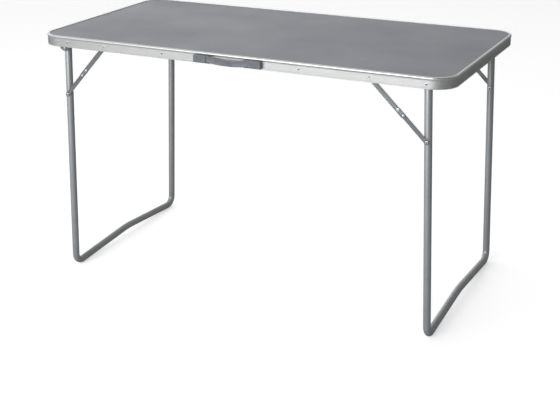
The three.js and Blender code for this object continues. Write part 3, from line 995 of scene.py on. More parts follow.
@dataclass
class Top(Assembly):
    """The laminated board, the bent rim around it and the rails under it."""

    corner_radius: float = 60 * MM
    corner_steps: int = 28
    bead_radius: float = 4 * MM
    bead_steps: int = 14
    lip_reach: float = 7.6 * MM
    lip_thickness: float = 1.3 * MM
    web: float = 2.6 * MM
    groove: float = 4.6 * MM
    shelf_reach: float = 8 * MM
    shelf_thickness: float = 1.2 * MM
    skirt_recess: float = 1.3 * MM
    skirt_thickness: float = 1 * MM
    hem: float = 0.35 * MM
    line_depth: float = 0.35 * MM
    seam: float = 0.4 * MM
    low_line: Triple = (3.0 * MM, 3.3 * MM, 3.6 * MM)
    cove: Triple = (2.6 * MM, 2.2 * MM, 1.2 * MM)
    lip_curve: tuple[Pair, ...] = (
        (0.9 * MM, 0.25 * MM), (0.25 * MM, 0.55 * MM), (0.0, 0.95 * MM),
    )
    smooth_below: float = math.radians(30)
    kept: dict[str, str] = field(default_factory=lambda: {
        "top_panel": "laminate", "cross_rail_left": "zinc", "cross_rail_right": "zinc",
        "centre_rail": "zinc", "rim_splice": "zinc",
    })

    def section(self, height: float) -> list[Pair]:
        """The rim's section, starting at the bottom of the skirt's outside.

        Args:
            height: The rim's height.

        Returns:
            Pairs of how far in from the outer face and how far below the crown.
        """
        recess, inner = self.skirt_recess, self.skirt_recess + self.skirt_thickness
        shelf = self.lip_thickness + self.groove
        meets = math.acos((self.bead_radius - recess) / self.bead_radius)
        bead = []
        for step in range(self.bead_steps + 1):
            turn = -meets + (math.pi / 2 + meets) * step / self.bead_steps
            bead.append((
                self.bead_radius * (1 - math.cos(turn)),
                self.bead_radius * (1 - math.sin(turn)),
            ))
        line_low, line_middle, line_high = (height - up for up in self.low_line)
        cove_edge, cove_low, cove_high = (bead[0][1] + down for down in self.cove)
        return [
            (recess + self.hem, height),
            (recess, height - self.hem),
            (recess, line_low),
            (recess + 0.5 * self.line_depth, line_middle),
            (recess, line_high),
            (recess, cove_edge),
            (recess + self.line_depth, cove_low),
            (recess + self.line_depth, cove_high),
            *bead,
            *((self.lip_reach - back, down) for back, down in self.lip_curve),
            (self.lip_reach, self.lip_thickness),
            (self.web, self.lip_thickness),
            (self.web, shelf),
            (self.shelf_reach, shelf),
            (self.shelf_reach, shelf + self.shelf_thickness),
            (inner, shelf + self.shelf_thickness),
            (inner, height - self.hem),
            (inner - 0.3 * self.hem, height),
        ]

    def build_rim(self) -> bpy.types.Object:
        """Bends the rim's section round the table, leaving the seam open.

        Returns:
            The rim.
        """
        low, high = corners_of("rim_frame")
        crown = high.z
        section = self.section(high.z - low.z)
        bpy.ops.mesh.primitive_circle_add(vertices=len(section), radius=self.web)
        rim = bpy.context.object
        for vertex, (inward, down) in zip(rim.data.vertices, section):
            vertex.co = (-self.seam / 2, high.y - inward, crown - down)
        straight_x = high.x - self.corner_radius
        straight_y = high.y - self.corner_radius
        turns = [(-1, 1), (-1, -1), (1, -1), (1, 1)]
        stops = [
            Vector((-straight_x, high.y, 0)), Vector((low.x, -straight_y, 0)),
            Vector((straight_x, low.y, 0)), Vector((high.x, straight_y, 0)),
            Vector((self.seam / 2, high.y, 0)),
        ]
        begin_edit(rim)
        at = Vector((-self.seam / 2, high.y, 0))
        for (way_x, way_y), stop in zip(turns, stops):
            extrude(stop - at)
            centre = Vector((way_x * straight_x, way_y * straight_y, 0))
            bpy.ops.mesh.spin(steps=self.corner_steps, angle=-math.pi / 2,
                              center=centre, axis=(0, 0, 1))
            at = centre + Matrix.Rotation(math.pi / 2, 3, "Z") @ (stop - centre)
        extrude(stops[-1] - at)
        for way in (-1, 1):
            pick("VERT", lambda place, way=way: (
                abs(place.x - way * self.seam / 2) < 10 * TOUCH and place.y > 0
            ))
            bpy.ops.mesh.edge_face_add()
        end_edit()
        face_outwards(rim)
        smooth(rim, self.smooth_below)
        return rim

    def build(self) -> None:
        """Makes the rim and dresses the board, the rails and the splice plate."""
        self.settle(self.build_rim(), "rim", "tabletop", "anodised", ["rim_frame"])
        for node, slot in self.kept.items():
            self.finishes.dress(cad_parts[node], slot)
            log.info("%s: dressed", node)


# ---- Rivets ----


@dataclass(frozen=True)
class Rivet:
    """The shape of one kind of rivet, in metres; its length comes from its node."""

    head: float
    head_height: float
    shank: float
    tail: float
    tail_height: float
    pit: float
    pit_depth: float
    shoulder: float = 0.0
    shoulder_ends: Pair = (0.0, 0.0)
    pit_wall: ClassVar[tuple[Pair, ...]] = (
        (0.0, 1.0), (0.75, 1.0), (0.92, 0.55), (1.0, 0.1),
    )
    flat_share: ClassVar[float] = 0.12
    fall_share: ClassVar[float] = 0.82
    dome_steps: ClassVar[int] = 5

    def profile(self, length: float, has_head: bool, has_tail: bool) -> list[Pair]:
        """The outline from the head's middle to the tail's middle.

        Args:
            length: The whole rivet's length.
            has_head: Whether its outer end has a head.
            has_tail: Whether its inner end has a tail.

        Returns:
            Pairs of radius and distance inwards from the head's crown.
        """
        if has_head:
            outline = self.dome(self.head, self.head_height, 0.0, 1)
            outline.append((self.shank, self.head_height))
        else:
            outline = [(0.0, 0.0), (self.shank, 0.0)]
        if self.shoulder:
            near, far = self.shoulder_ends
            outline += [(self.shank, near), (self.shoulder, near),
                        (self.shoulder, far), (self.shank, far)]
        if has_tail:
            outline.append((self.shank, length - self.tail_height))
            outline += self.dome(self.tail, self.tail_height, length, -1)[::-1]
        else:
            outline += [(self.shank, length), (0.0, length)]
        return outline

    def dome(self, radius: float, height: float, crown: float, way: int) -> list[Pair]:
        """A domed end with a pit in its middle, from the middle outwards.

        Args:
            radius: Its radius.
            height: Its height.
            crown: Where its top is.
            way: 1 when it rises towards the start, -1 towards the end.

        Returns:
            Pairs of radius and distance.
        """
        pit = min(self.pit, 0.6 * radius)
        depth = min(self.pit_depth, 0.7 * height)
        shape = [(pit * across, depth * down) for across, down in self.pit_wall]
        reach = radius - pit
        for step in range(self.dome_steps + 1):
            turn = math.pi / 2 * step / self.dome_steps
            share = self.flat_share + (1 - self.flat_share) * math.sin(turn)
            drop = self.fall_share * height * (1 - math.cos(turn))
            shape.append((pit + share * reach, drop))
        shape.append((radius, height))
        return [(across, crown + way * down) for across, down in shape]


class RivetKind(Enum):
    """The kinds of rivet in the table."""

    SKIRT = Rivet(head=3.0 * MM, head_height=0.9 * MM, shank=1.6 * MM, tail=2.8 * MM,
                  tail_height=0.8 * MM, pit=1.5 * MM, pit_depth=0.62 * MM)
    BRACE = replace(SKIRT, shank=2.0 * MM)
    ELBOW = Rivet(head=4.2 * MM, head_height=0.8 * MM, shank=2.0 * MM, tail=4.2 * MM,
                  tail_height=0.8 * MM, pit=1.2 * MM, pit_depth=0.5 * MM)
    LEG = replace(ELBOW, pit=2.1 * MM, pit_depth=0.6 * MM)
    PIVOT = Rivet(head=3.2 * MM, head_height=0.9 * MM, shank=2.5 * MM, tail=5.0 * MM,
                  tail_height=1.5 * MM, pit=1.5 * MM, pit_depth=0.6 * MM)


@dataclass
class Fasteners(Assembly):
    """Every rivet and pin."""

    sides_round: int = 32
    shoulder_radius: float = 4.5 * MM
    shoulder_below_head: float = 2.5 * MM
    shoulder_above_tail: float = 2.9 * MM
    # The share of a pit's radius whose faces are painted as shade.
    painted_shade_share: float = 0.95
    models: dict[tuple, bpy.types.Object] = field(default_factory=dict)

    def turn(self, outline: list[Pair], pit: float) -> bpy.types.Object:
        """Draws a ring out into a turned piece whose axis is +Y from the origin.

        Args:
            outline: Pairs of radius and place along Y, both ends on the axis.
            pit: Faces nearer the axis than this get the near-black pit material: the
                stem in the hole, with painted shade for the hole's depth.

        Returns:
            The piece.
        """
        start = outline[1]
        bpy.ops.mesh.primitive_circle_add(
            vertices=self.sides_round, radius=start[0], location=(0, start[1], 0),
            rotation=(math.pi / 2, 0, 0),
        )
        turned = bpy.context.object
        fix_place(turned)
        begin_edit(turned)
        before = start
        for radius, along in outline[2:-1]:
            extrude((0, along - before[1], 0))
            share = radius / before[0]
            bpy.ops.transform.resize(value=(share,) * 3, center_override=(0, along, 0))
            before = (radius, along)
        bpy.ops.mesh.edge_face_add()
        bpy.ops.mesh.poke()
        pick("VERT", lambda place: max(
            abs(place.y - start[1]), abs(math.hypot(place.x, place.z) - start[0])
        ) < 0.1 * TOUCH)
        bpy.ops.mesh.edge_face_add()
        bpy.ops.mesh.poke()
        bpy.ops.mesh.select_all(action="SELECT")
        bpy.ops.mesh.normals_make_consistent(inside=False)
        end_edit()
        # Painted shade: faces in the pit get a near-black material for the stem and the
        # shade inside the rivet's hole.
        for slot in ("bright_rivet", "mandrel_and_painted_shade"):
            turned.data.materials.append(self.finishes.by_slot[slot])
        for face in turned.data.polygons:
            across = math.hypot(face.center.x, face.center.z)
            face.material_index = int(across < pit)
        smooth(turned, TURNED_SHARP)
        return turned

    def add(self, node: str, kind: RivetKind, body: str, has_head: bool = True,
            has_tail: bool = True, shouldered: bool = False) -> None:
        """Makes the rivet that a node stands for.

        Args:
            node: The node, whose box gives its place and length.
            kind: Its shape.
            body: The body that it rides on.
            has_head: Whether its outer end has a head.
            has_tail: Whether its inner end has a tail.
            shouldered: Whether a shoulder keeps the link off the skirt.
        """
        low, high = corners_of(node)
        length = high.y - low.y
        spec = kind.value
        if shouldered:
            ends = (self.shoulder_below_head, length - self.shoulder_above_tail)
            spec = replace(spec, shoulder=self.shoulder_radius, shoulder_ends=ends)
        key = (spec, round(length, 6), has_head, has_tail)
        if key not in self.models:
            outline = spec.profile(length, has_head, has_tail)
            self.models[key] = self.turn(outline, self.painted_shade_share * spec.pit)
        centre = middle_of(node)
        front = centre.y < 0
        turn = Matrix.Identity(4) if front else Matrix.Rotation(math.pi, 4, "Z")
        start = Vector((centre.x, low.y if front else high.y, centre.z))
        piece = copy_of(self.models[key], Matrix.Translation(start) @ turn)
        self.settle(piece, f"{node}_detail", body, "bright_rivet", [node])

    def build(self) -> None:
        """Makes them all and discards the patterns that they were copied from."""
        for side in Side:
            for end in End:
                key = f"{side.word}_{end.word}"
                self.add(f"rail_rivet_{key}", RivetKind.SKIRT, "tabletop")
                self.add(f"brace_rivet_{key}", RivetKind.BRACE, "tabletop",
                         shouldered=True)
                self.add(f"elbow_rivet_outer_{key}", RivetKind.ELBOW,
                         f"upper_link_{key}", has_tail=False)
                self.add(f"elbow_rivet_inner_{key}", RivetKind.ELBOW,
                         f"lower_link_{key}", has_head=False)
                self.add(f"leg_rivet_{key}", RivetKind.LEG, f"{end.word}_leg")
            for place in ("outer", "inner"):
                self.add(f"ear_rivet_{side.word}_{place}", RivetKind.SKIRT, "tabletop")
            self.add(f"left_pivot_pin_{side.word}", RivetKind.PIVOT, "tabletop")
            self.add(f"right_pivot_rivet_{side.word}", RivetKind.PIVOT, "tabletop")
        for model in self.models.values():
            bpy.data.objects.remove(model)


# ---- Legs ----


@dataclass
class Leg(Assembly):
    """One bent tube leg with its plugs, spacers and, on the left, its hinge ears."""

    end: End = End.LEFT
    tube_radius: float = 10 * MM
    wall: float = 1 * MM
    past_pivot: float = 4 * MM
    splay: float = math.radians(2.4)
    foot_radius: float = 28 * MM
    bar_slope: float = math.radians(3.7)
    bar_radius: float = 400 * MM
    sides_round: int = 36
    foot_steps: int = 20
    bar_steps: int = 8
    end_rounding: float = 0.25 * MM
    straight_above: float = -0.5
    clearance: float = 0.3 * MM
    plug_dome: float = 0.72
    plug_steps: int = 5
    plug_profile: float = 0.55
    plug_ring: float = 1.4 * MM
    plug_dimple: float = 0.5 * MM
    plug_length: float = 11.5 * MM
    spacer_hole: float = 2.8 * MM
    pressed_rounding: float = 0.3 * MM
    ear_lobe: float = 16 * MM
    ear_sides: int = 96
    dish_radius: float = 6.2 * MM
    dish_depth: float = 0.3 * MM
    pivot_nodes: ClassVar[dict[End, str]] = {
        End.LEFT: "left_pivot_pin_front", End.RIGHT: "right_pivot_rivet_front",
    }

    @property
    def pivot(self) -> Vector:
        """The middle of the leg's pivot axis."""
        place = middle_of(self.pivot_nodes[self.end])
        return Vector((place.x, 0, place.z))

    @property
    def half_span(self) -> float:
        """From the middle of the table to the middle of a tube."""
        low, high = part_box(f"leg_tube_{self.end.word}")
        return (high[1] - low[1]) / 2 - self.tube_radius

    def place(self) -> Matrix:
        """What carries a mesh from the pivot's own frame to the table's."""
        lean = Matrix.Rotation(-self.end.value * self.splay, 4, "Y")
        return Matrix.Translation(self.pivot) @ lean

    def build_tube(self) -> None:
        """Draws the tube out of a ring: down, round the foot, over the bar and up."""
        span = self.half_span
        lowest = (self.pivot.z - self.tube_radius) / math.cos(self.splay)
        slope, bend = self.bar_slope, self.foot_radius
        bend_end = span - bend * (1 + math.sin(slope))
        bar_run = (bend_end - self.bar_radius * math.sin(slope)) / math.cos(slope)
        leg_run = self.past_pivot + lowest - bend
        foot_turn = math.pi / 2 + slope
        at = Vector((0, -span, self.past_pivot))
        bpy.ops.mesh.primitive_circle_add(
            vertices=self.sides_round, radius=self.tube_radius, location=at
        )
        tube = bpy.context.object
        fix_place(tube)
        begin_edit(tube)
        heading = Vector((0, 0, -1))
        across = Vector((1, 0, 0))
        path = [
            (leg_run, foot_turn, bend, self.foot_steps),
            (bar_run, -2 * slope, self.bar_radius, self.bar_steps),
            (bar_run, foot_turn, bend, self.foot_steps),
        ]
        for run, angle, radius, steps in path:
            extrude(heading * run)
            at = at + heading * run
            arm = heading.cross(across) * math.copysign(radius, angle)
            centre = at - arm
            bpy.ops.mesh.spin(steps=steps, angle=-angle, center=centre, axis=across)
            turn = Matrix.Rotation(angle, 3, across)
            at = centre + turn @ arm
            heading = turn @ heading
        extrude(heading * leg_run)
        bpy.ops.mesh.select_all(action="SELECT")
        bpy.ops.mesh.normals_make_consistent(inside=False)
        end_edit()
        self.turn_shell_outwards(tube)
        apply_modifier(tube, "SOLIDIFY", thickness=self.wall, offset=-1.0)
        round_edges(tube, self.end_rounding)
        smooth(tube, TUBE_SHARP)
        fix_place(tube, self.place())
        word = self.end.word
        self.settle(tube, f"leg_tube_{word}_detail", f"{word}_leg", "grey_paint",
                    [f"leg_tube_{word}"])

    def turn_shell_outwards(self, tube: bpy.types.Object) -> None:
        """Turns an open tube's faces away from its own middle line if they face it.

        Args:
            tube: The open shell.
        """
        top = next(face for face in tube.data.polygons
                   if face.center.z > self.straight_above and face.center.y < 0)
        outwards = Vector((top.center.x, top.center.y + self.half_span, 0))
        if top.normal.dot(outwards) < 0:
            tube.data.flip_normals()

    def build_plug(self, side: Side) -> None:
        """Makes the plastic plug in one tube's top.

        Args:
            side: Which tube.
        """
        node = f"tube_plug_{side.word}_{self.end.word}"
        flange = self.past_pivot + self.clearance
        dome = self.tube_radius - flange
        bpy.ops.mesh.primitive_cylinder_add(
            vertices=self.sides_round, radius=self.tube_radius, depth=dome,
            location=(0, side.value * self.half_span, flange + dome / 2),
        )
        plug = bpy.context.object
        fix_place(plug)
        begin_edit(plug)
        pick("FACE", lambda place: place.z > flange + 0.99 * dome)
        bpy.ops.mesh.bevel(offset=self.plug_dome * dome, segments=self.plug_steps,
                           profile=self.plug_profile)
        pick("FACE", lambda place: place.z > flange + 0.99 * dome)
        bpy.ops.mesh.inset(thickness=self.plug_ring, depth=0)
        bpy.ops.transform.translate(value=(0, 0, -self.plug_dimple))
        pick("FACE", lambda place: place.z < flange + 10 * TOUCH)
        bpy.ops.mesh.inset(thickness=self.wall + self.clearance, depth=0)
        extrude((0, 0, -self.plug_length))
        end_edit()
        smooth(plug, TURNED_SHARP)
        fix_place(plug, self.place())
        self.settle(plug, f"{node}_detail", f"{self.end.word}_leg", "black_plastic",
                    [node])

    def build_spacer(self, side: Side) -> None:
        """Makes the spacer between the rim or ear and the tube.

        Args:
            side: Which tube.
        """
        node = f"pivot_spacer_{side.word}_{self.end.word}"
        low, high = corners_of(node)
        middle = (low + high) / 2
        length = high.y - low.y
        spacer = add_drill(middle, (high.x - low.x) / 2, length)
        combine(spacer, add_drill(middle, self.spacer_hole, 2 * length))
        round_edges(spacer, self.pressed_rounding)
        smooth(spacer)
        self.settle(spacer, f"{node}_detail", "tabletop", "grey_plastic", [node])

    def build_ear(self, side: Side) -> None:
        """Makes the pressed hinge ear behind the skirt, whose lobe hangs below it.

        Args:
            side: Which ear.
        """
        node = f"hinge_ear_{side.word}"
        low, high = corners_of(node)
        pivot = self.pivot
        middle_y = (low.y + high.y) / 2
        gauge = high.y - low.y
        lobe_z = low.z + self.ear_lobe
        ear = add_drill((pivot.x, middle_y, lobe_z), self.ear_lobe, gauge,
                        sides=self.ear_sides)
        combine(ear, add_block((low.x, low.y, lobe_z), high), "UNION")
        dish_y = middle_y + side.value * (gauge - self.dish_depth)
        combine(ear, add_drill((pivot.x, dish_y, pivot.z), self.dish_radius, gauge))
        round_edges(ear, self.pressed_rounding)
        smooth(ear)
        self.settle(ear, f"{node}_detail", "tabletop", "steel_strip", [node])

    def build(self) -> None:
        """Makes the whole leg."""
        self.build_tube()
        for side in Side:
            self.build_plug(side)
            self.build_spacer(side)
            if self.end is End.LEFT:
                self.build_ear(side)


# ---- Braces ----


@dataclass
class Braces(Assembly):
    """The jointed links that lock the legs open."""

    upper_width: float = 13 * MM
    lower_width: float = 12 * MM
    gauge: float = 1.2 * MM
    lock_offset: float = 20 * MM
    dimple_radius: float = 2.8 * MM
    dimple_height: float = 0.6 * MM
    dimple_sunk: float = 0.2 * MM
    panel_inset: float = 2.0 * MM
    panel_slope: float = 0.8 * MM
    panel_depth: float = 0.1 * MM
    end_steps: int = 10
    end_reach: float = 0.4995
    tip_merge: float = 0.002
    edge_rounding: float = 0.2 * MM

    def strip(self, length: float, width: float) -> bpy.types.Object:
        """Presses a strip with round ends, lying along +X with its outer face at -Y.

        Args:
            length: Between the middles of its round ends.
            width: Its width.

        Returns:
            The strip, its outer face at y = 0.
        """
        bpy.ops.mesh.primitive_plane_add(
            size=width, location=(length / 2, 0, 0), rotation=(math.pi / 2, 0, 0)
        )
        strip = bpy.context.object
        fix_place(strip)
        begin_edit(strip)
        bpy.ops.transform.resize(
            value=(1 + length / width, 1, 1), center_override=(length / 2, 0, 0)
        )
        bpy.ops.mesh.bevel(offset=self.end_reach * width, segments=self.end_steps,
                           affect="VERTICES")
        bpy.ops.mesh.remove_doubles(threshold=self.tip_merge * width)
        bpy.ops.mesh.select_all(action="SELECT")
        extrude((0, self.gauge, 0))
        bpy.ops.mesh.select_all(action="SELECT")
        bpy.ops.mesh.normals_make_consistent(inside=False)
        sink_front(0.0, self.panel_inset, self.panel_slope, self.panel_depth)
        end_edit()
        self.finishes.dress(strip, "steel_strip")
        return strip

    def build_link(self, upper: bool, side: Side, end: End) -> None:
        """Makes one link between the rivets at its ends.

        Args:
            upper: Whether it is the link that hangs from the skirt.
            side: Its side of the table.
            end: Its end of the table.
        """
        key = f"{side.word}_{end.word}"
        kind = "upper" if upper else "lower"
        node = f"{kind}_link_{key}"
        low, high = corners_of(node)
        root = middle_of(f"brace_rivet_{key}" if upper else f"leg_rivet_{key}")
        elbow = middle_of(f"elbow_rivet_outer_{key}")
        along = Vector((elbow.x - root.x, 0, elbow.z - root.z))
        length = along.length + (self.lock_offset if upper else 0.0)
        width = self.upper_width if upper else self.lower_width
        link = self.strip(length, width)
        if upper:
            self.add_dimple(link, length)
        round_edges(link, self.edge_rounding)
        smooth(link)
        front = side is Side.FRONT
        outer_y = (high.y - self.gauge) if front else (low.y + self.gauge)
        turn = Matrix.Rotation(math.atan2(-along.z, along.x), 4, "Y")
        mirror = Matrix.Identity(4) if front else Matrix.Scale(-1, 4, (0, 1, 0))
        start = Matrix.Translation((root.x, outer_y, root.z))
        fix_place(link, start @ turn @ mirror)
        if not front:
            link.data.flip_normals()
        self.settle(link, f"{node}_detail", node, "steel_strip", [node])

    def add_dimple(self, link: bpy.types.Object, along: float) -> None:
        """Raises the locking dimple near a link's end.

        Args:
            link: The link, still lying along +X.
            along: Where the dimple is.
        """
        sunk = self.dimple_sunk
        bpy.ops.mesh.primitive_uv_sphere_add(
            segments=24, ring_count=12, radius=self.dimple_radius,
            location=(along, sunk, 0), rotation=(math.pi / 2, 0, 0),
        )
        dimple = bpy.context.object
        fix_place(dimple)
        begin_edit(dimple)
        rise = (self.dimple_height + sunk) / self.dimple_radius
        bpy.ops.transform.resize(value=(1, rise, 1), center_override=(along, sunk, 0))
        end_edit()
        self.finishes.dress(dimple, "bright_rivet")
        combine(link, dimple, "UNION", material_mode="TRANSFER")

    def build(self) -> None:
        """Makes all eight links."""
        for side in Side:
            for end in End:
                self.build_link(True, side, end)
                self.build_link(False, side, end)


# ---- Carrying handle ----


@dataclass(frozen=True)
class Grooves:
    """A row of upright grooves cut in a piece's front."""

    count: int
    pitch: float
    half_width: float
    depth: float
    margin: float
    overshoot: ClassVar[float] = 1 * MM

    def cut(self, piece: bpy.types.Object, low: Vector, high: Vector, first: float,
            way: int) -> None:
        """Cuts them.

        Args:
            piece: The piece.
            low: Its lowest corner.
            high: Its highest corner.
            first: Where the first groove is along X.
            way: 1 when the others follow towards +X, -1 towards -X.
        """
        for step in range(self.count):
            x = first + way * step * self.pitch
            combine(piece, add_block(
                (x - self.half_width, low.y - self.overshoot, low.z + self.margin),
                (x + self.half_width, low.y + self.depth, high.z - self.margin),
            ))


@dataclass
class Handle(Assembly):
    """The flexible carrying strap, its moulded grip and its two end blocks."""

    front_wall: float = 1.7 * MM
    floor: float = 1.2 * MM
    end_wall: float = 4 * MM
    window: float = 12 * MM
    mouth_overshoot: float = 2 * MM
    slot_clearance: float = 0.3 * MM
    strap_thickness: float = 2.4 * MM
    strap_start: float = 10 * MM
    body_end: float = 61.2 * MM
    strap_steps: int = 34
    sag: float = 4.2 * MM
    sag_reach: float = 48 * MM
    sag_power: int = 3
    hinge: float = 18 * MM
    bend_before: float = 4 * MM
    bend_after: float = 16 * MM
    block_rounding: float = 1.2 * MM
    strap_rounding: float = 0.8 * MM
    grip_rounding: float = 1.0 * MM
    block_edges: float = 0.25 * MM
    grip_edges: float = 0.2 * MM
    block_panel: Triple = (2.2 * MM, 0.7 * MM, 0.5 * MM)
    strap_panel: Triple = (2.0 * MM, 0.6 * MM, 0.4 * MM)
    grip_panel: Triple = (1.8 * MM, 0.6 * MM, 0.4 * MM)
    strap_sharp: float = math.radians(60)
    case_sharp: float = math.radians(50)
    block_grooves: Grooves = Grooves(5, 4.2 * MM, 0.7 * MM, 0.9 * MM, 5 * MM)
    first_block_groove: float = 9 * MM
    grip_grooves: Grooves = Grooves(9, 3.2 * MM, 0.6 * MM, 1 * MM, 3.2 * MM)

    def build_block(self, end: End) -> None:
        """Makes one end block, a rounded cover with a mouth for the strap.

        Args:
            end: Which block.
        """
        node = f"handle_block_{end.word}"
        low, high = corners_of(node)
        strap_low, strap_high = corners_of(f"handle_strap_{end.word}")
        block = add_block(low, high)
        begin_edit(block)
        sink_front(low.y, *self.block_panel)
        end_edit()
        bevel(block, self.block_rounding, segments=4, angle=self.case_sharp)
        inner = low.x if end is End.RIGHT else high.x
        outer = high.x if end is End.RIGHT else low.x
        way = end.value
        bottom = strap_low.z - self.slot_clearance
        top = strap_high.z + self.slot_clearance

        mouth = inner - way * self.mouth_overshoot
        for stop, face in (
            (outer - way * self.end_wall, low.y + self.front_wall),
            (inner + way * self.window, low.y - self.mouth_overshoot),
        ):
            combine(block, add_block((min(mouth, stop), face, bottom),
                                     (max(mouth, stop), high.y - self.floor, top)))
        self.block_grooves.cut(block, low, high, outer - way * self.first_block_groove,
                               -way)
        round_edges(block, self.block_edges)
        smooth(block)
        self.settle(block, f"{node}_detail", "tabletop", "grey_plastic", [node])

    def build_strap(self, end: End) -> None:
        """Makes one half of the strap, from inside the grip to inside its block.

        Args:
            end: Which half.
        """
        node = f"handle_strap_{end.word}"
        low, high = corners_of(node)
        way = end.value
        tip = high.x if end is End.RIGHT else low.x
        start = way * self.strap_start
        shoulder = way * self.body_end
        face = high.y - self.strap_thickness
        strap = add_block((min(start, tip), face, low.z),
                          (max(start, tip), high.y, high.z))
        self.slice_across(strap, shoulder)
        begin_edit(strap)
        pick("FACE", lambda place: (
            place.y < face + TOUCH and abs(place.x) < self.body_end
        ))
        extrude((0, low.y - face, 0))
        sink_front(low.y, *self.strap_panel)
        end_edit()
        bevel(strap, self.strap_rounding, segments=3, angle=self.strap_sharp)
        for step in range(self.strap_steps + 1):
            share = step / self.strap_steps
            self.slice_across(strap, start + (shoulder - start) * share)
        smooth(strap)
        self.lower_middle(strap)
        self.settle(strap, f"{node}_detail", "", "grey_plastic", [node])
        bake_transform(strap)

    def lower_middle(self, piece: bpy.types.Object) -> None:
        """Lets a piece hang a little towards the middle of the table.

        Args:
            piece: The strap or the grip, cut across into rings.
        """
        begin_edit(piece)
        places = sorted({round(vertex.co.x, 6) for vertex in piece.data.vertices})
        for x in places:
            if abs(x) < self.sag_reach:
                drop = self.sag * (1 - (abs(x) / self.sag_reach) ** self.sag_power)
                pick("VERT", lambda place, x=x: round(place.x, 6) == x)
                bpy.ops.transform.translate(value=(0, 0, -drop))
        end_edit()

    def slice_across(self, piece: bpy.types.Object, x: float) -> None:
        """Cuts a ring of edges round a piece.

        Args:
            piece: The object to cut.
            x: Where the ring is.
        """
        begin_edit(piece)
        bpy.ops.mesh.bisect(plane_co=(x, 0, 0), plane_no=(1, 0, 0))
        end_edit()

    def build_grip(self) -> None:
        """Makes the moulded grip round the strap's middle."""
        low, high = corners_of("handle_grip")
        grip = add_block(low, high)
        begin_edit(grip)
        sink_front(low.y, *self.grip_panel)
        end_edit()
        bevel(grip, self.grip_rounding, segments=4, angle=self.case_sharp)
        grooves = self.grip_grooves
        first = -(grooves.count // 2) * grooves.pitch
        grooves.cut(grip, low, high, first, 1)
        round_edges(grip, self.grip_edges)
        smooth(grip)
        self.lower_middle(grip)
        self.settle(grip, "handle_grip_detail", "handle_grip", "grey_plastic",
                    ["handle_grip"])

    def build(self) -> None:
        """Makes the whole handle."""
        for end in End:
            self.build_block(end)
            self.build_strap(end)
        self.build_grip()


# ---- Studio ----


@dataclass(frozen=True)
class Softbox:
    """A large soft light."""

    name: str
    place: Triple
    aim: Triple
    size: Pair
    power: float

    def add(self) -> None:
        """Hangs the light."""
        lamp = bpy.data.lights.new(self.name, "AREA")
        lamp.shape = "RECTANGLE"
        lamp.size, lamp.size_y = self.size
        lamp.energy = self.power
        stand = bpy.data.objects.new(self.name, lamp)
        stand.location = self.place
        aim = Vector(self.aim) - Vector(self.place)
        stand.rotation_euler = aim.to_track_quat("-Z", "Y").to_euler()
        bpy.context.collection.objects.link(stand)


@dataclass(frozen=True)
class FloorPaper(Finish):
    """Plain pale paper, white to the camera and dimmer in what it sends back, where a
    painted pool of light at the front left fades into painted shade further off.
    """

    name: str = "floor_paper"
    light: Color = (0.93, 0.93, 0.93, 1.0)
    dark: Color = (0.915, 0.915, 0.915, 1.0)
    tone_scale: float = 0.7
    sheen_scale: float = 2.0
    smooth: float = 0.75
    rough: float = 0.85
    grain_scale: float = 300.0
    relief: float = 0.02 * MM
    surface: Surface = Surface()
    unlit: Color = (0.0, 0.0, 0.0, 1.0)
    white: Color = (1.0, 1.0, 1.0, 1.0)
    glow: float = 0.52
    # Centre, reach and brightness of the painted pool of light in what the paper sends
    # back.
    pool: Triple = (-0.9, -2.8, 0.0)
    pool_reach: Pair = (0.8, 4.8)
    painted_pool_share: Pair = (0.85, 0.22)

    def make(self) -> bpy.types.Material:
        """Builds the material.

        Returns:
            The material.
        """
        tree, material, place = new_material(self.name)
        # Painted pool of light: what the paper sends back is its tone scaled from
        # bright near this spot to painted shade far from it.
        pool = tree.add("VectorMath", {0: place, 1: self.pool}, operation="DISTANCE")
        painted_pool_share = tree.spread(pool.outputs["Value"], *self.pool_reach, *self.painted_pool_share)
        seen = tree.add("LightPath").outputs["Is Camera Ray"]
        share = tree.maths("MAXIMUM", seen, painted_pool_share)
        color = tree.mix(share, self.unlit, self.tone(tree, place))
        shader = self.surface.close(tree, color, self.sheen(tree, place),
                                    self.grained(tree, place))
        tree.feed(shader.inputs["Emission Color"], self.white)
        tree.feed(shader.inputs["Emission Strength"],
                  tree.maths("MULTIPLY", seen, self.glow))
        return material


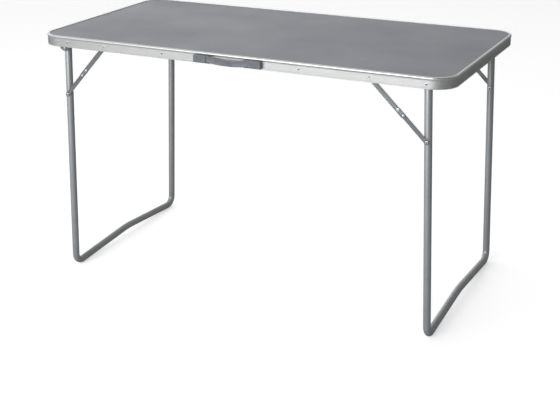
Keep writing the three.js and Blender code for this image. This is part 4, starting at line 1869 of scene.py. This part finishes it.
@dataclass
class Studio:
    """A pale floor, soft lights, a graded surround and the camera."""

    lens: float = 70.58
    sensor: float = 36.0
    camera_place: Triple = (1.32446, -2.74774, 1.35986)
    yaw: float = -0.447834
    pitch: float = 0.371814
    roll: float = -0.0020655
    clip: Pair = (0.05, 100.0)
    floor_size: float = 24.0
    sideways: tuple[float, ...] = (-0.60, 0.15, 1.25, 0.34)
    upwards: tuple[float, ...] = (0.25, 0.9, 1.0, 0.34)
    softboxes: tuple[Softbox, ...] = (
        Softbox("key", (-0.6, -3.9, 1.6), (0, 0, 0.5), (2.8, 1.6), 80),
        Softbox("top", (-0.5, 0.8, 3.2), (0, 0, 0.6), (3.6, 2.6), 16),
    )

    def add_floor(self) -> None:
        """Lays the floor."""
        bpy.ops.mesh.primitive_plane_add(size=self.floor_size)
        floor = bpy.context.object
        floor.name = "floor"
        floor.data.materials.append(FloorPaper().make())

    def add_surround(self) -> None:
        """Lights the scene from all round, brighter from above and from the left."""
        world = bpy.data.worlds.new("surround")
        bpy.context.scene.world = world
        world.use_nodes = True
        world.node_tree.nodes.clear()
        tree = Tree(world.node_tree)
        direction = tree.add("TexCoord").outputs["Generated"]
        parts = tree.add("SeparateXYZ", {0: direction})
        sideways = tree.spread(parts.outputs["X"], *self.sideways)
        upwards = tree.spread(parts.outputs["Z"], *self.upwards)
        strength = tree.maths("MULTIPLY", sideways, upwards)
        background = tree.add("Background", {
            "Color": (1.0, 1.0, 1.0, 1.0), "Strength": strength,
        })
        tree.add("OutputWorld", {"Surface": background.outputs[0]})

    def add_camera(self) -> None:
        """Places the camera."""
        ahead = Vector((math.sin(self.yaw), math.cos(self.yaw), 0))
        forward = math.cos(self.pitch) * ahead - Vector((0, 0, math.sin(self.pitch)))
        level = Vector((math.cos(self.yaw), -math.sin(self.yaw), 0))
        upright = level.cross(forward)
        cosine, sine = math.cos(self.roll), math.sin(self.roll)
        right = cosine * level + sine * upright
        up = cosine * upright - sine * level
        lens = bpy.data.cameras.new("camera")
        lens.lens = self.lens
        lens.sensor_width = self.sensor
        lens.clip_start, lens.clip_end = self.clip
        camera = bpy.data.objects.new("camera", lens)
        turn = Matrix((right, up, -forward)).transposed().to_4x4()
        camera.matrix_world = Matrix.Translation(self.camera_place) @ turn
        bpy.context.collection.objects.link(camera)
        bpy.context.scene.camera = camera

    def build(self) -> None:
        """Sets everything up."""
        self.add_floor()
        self.add_surround()
        for softbox in self.softboxes:
            softbox.add()
        self.add_camera()
        bpy.context.scene.view_settings.view_transform = "Standard"


def main() -> None:
    """Builds the table and its studio."""
    logging.basicConfig(level=logging.INFO, format="%(name)s %(message)s")
    bpy.ops.object.select_all(action="DESELECT")
    finishes = Finishes()
    Top(finishes).build()
    Fasteners(finishes).build()
    for end in End:
        Leg(finishes, end=end).build()
    Braces(finishes).build()
    Handle(finishes).build()
    Studio().build()


if __name__ == "__main__":
    main()
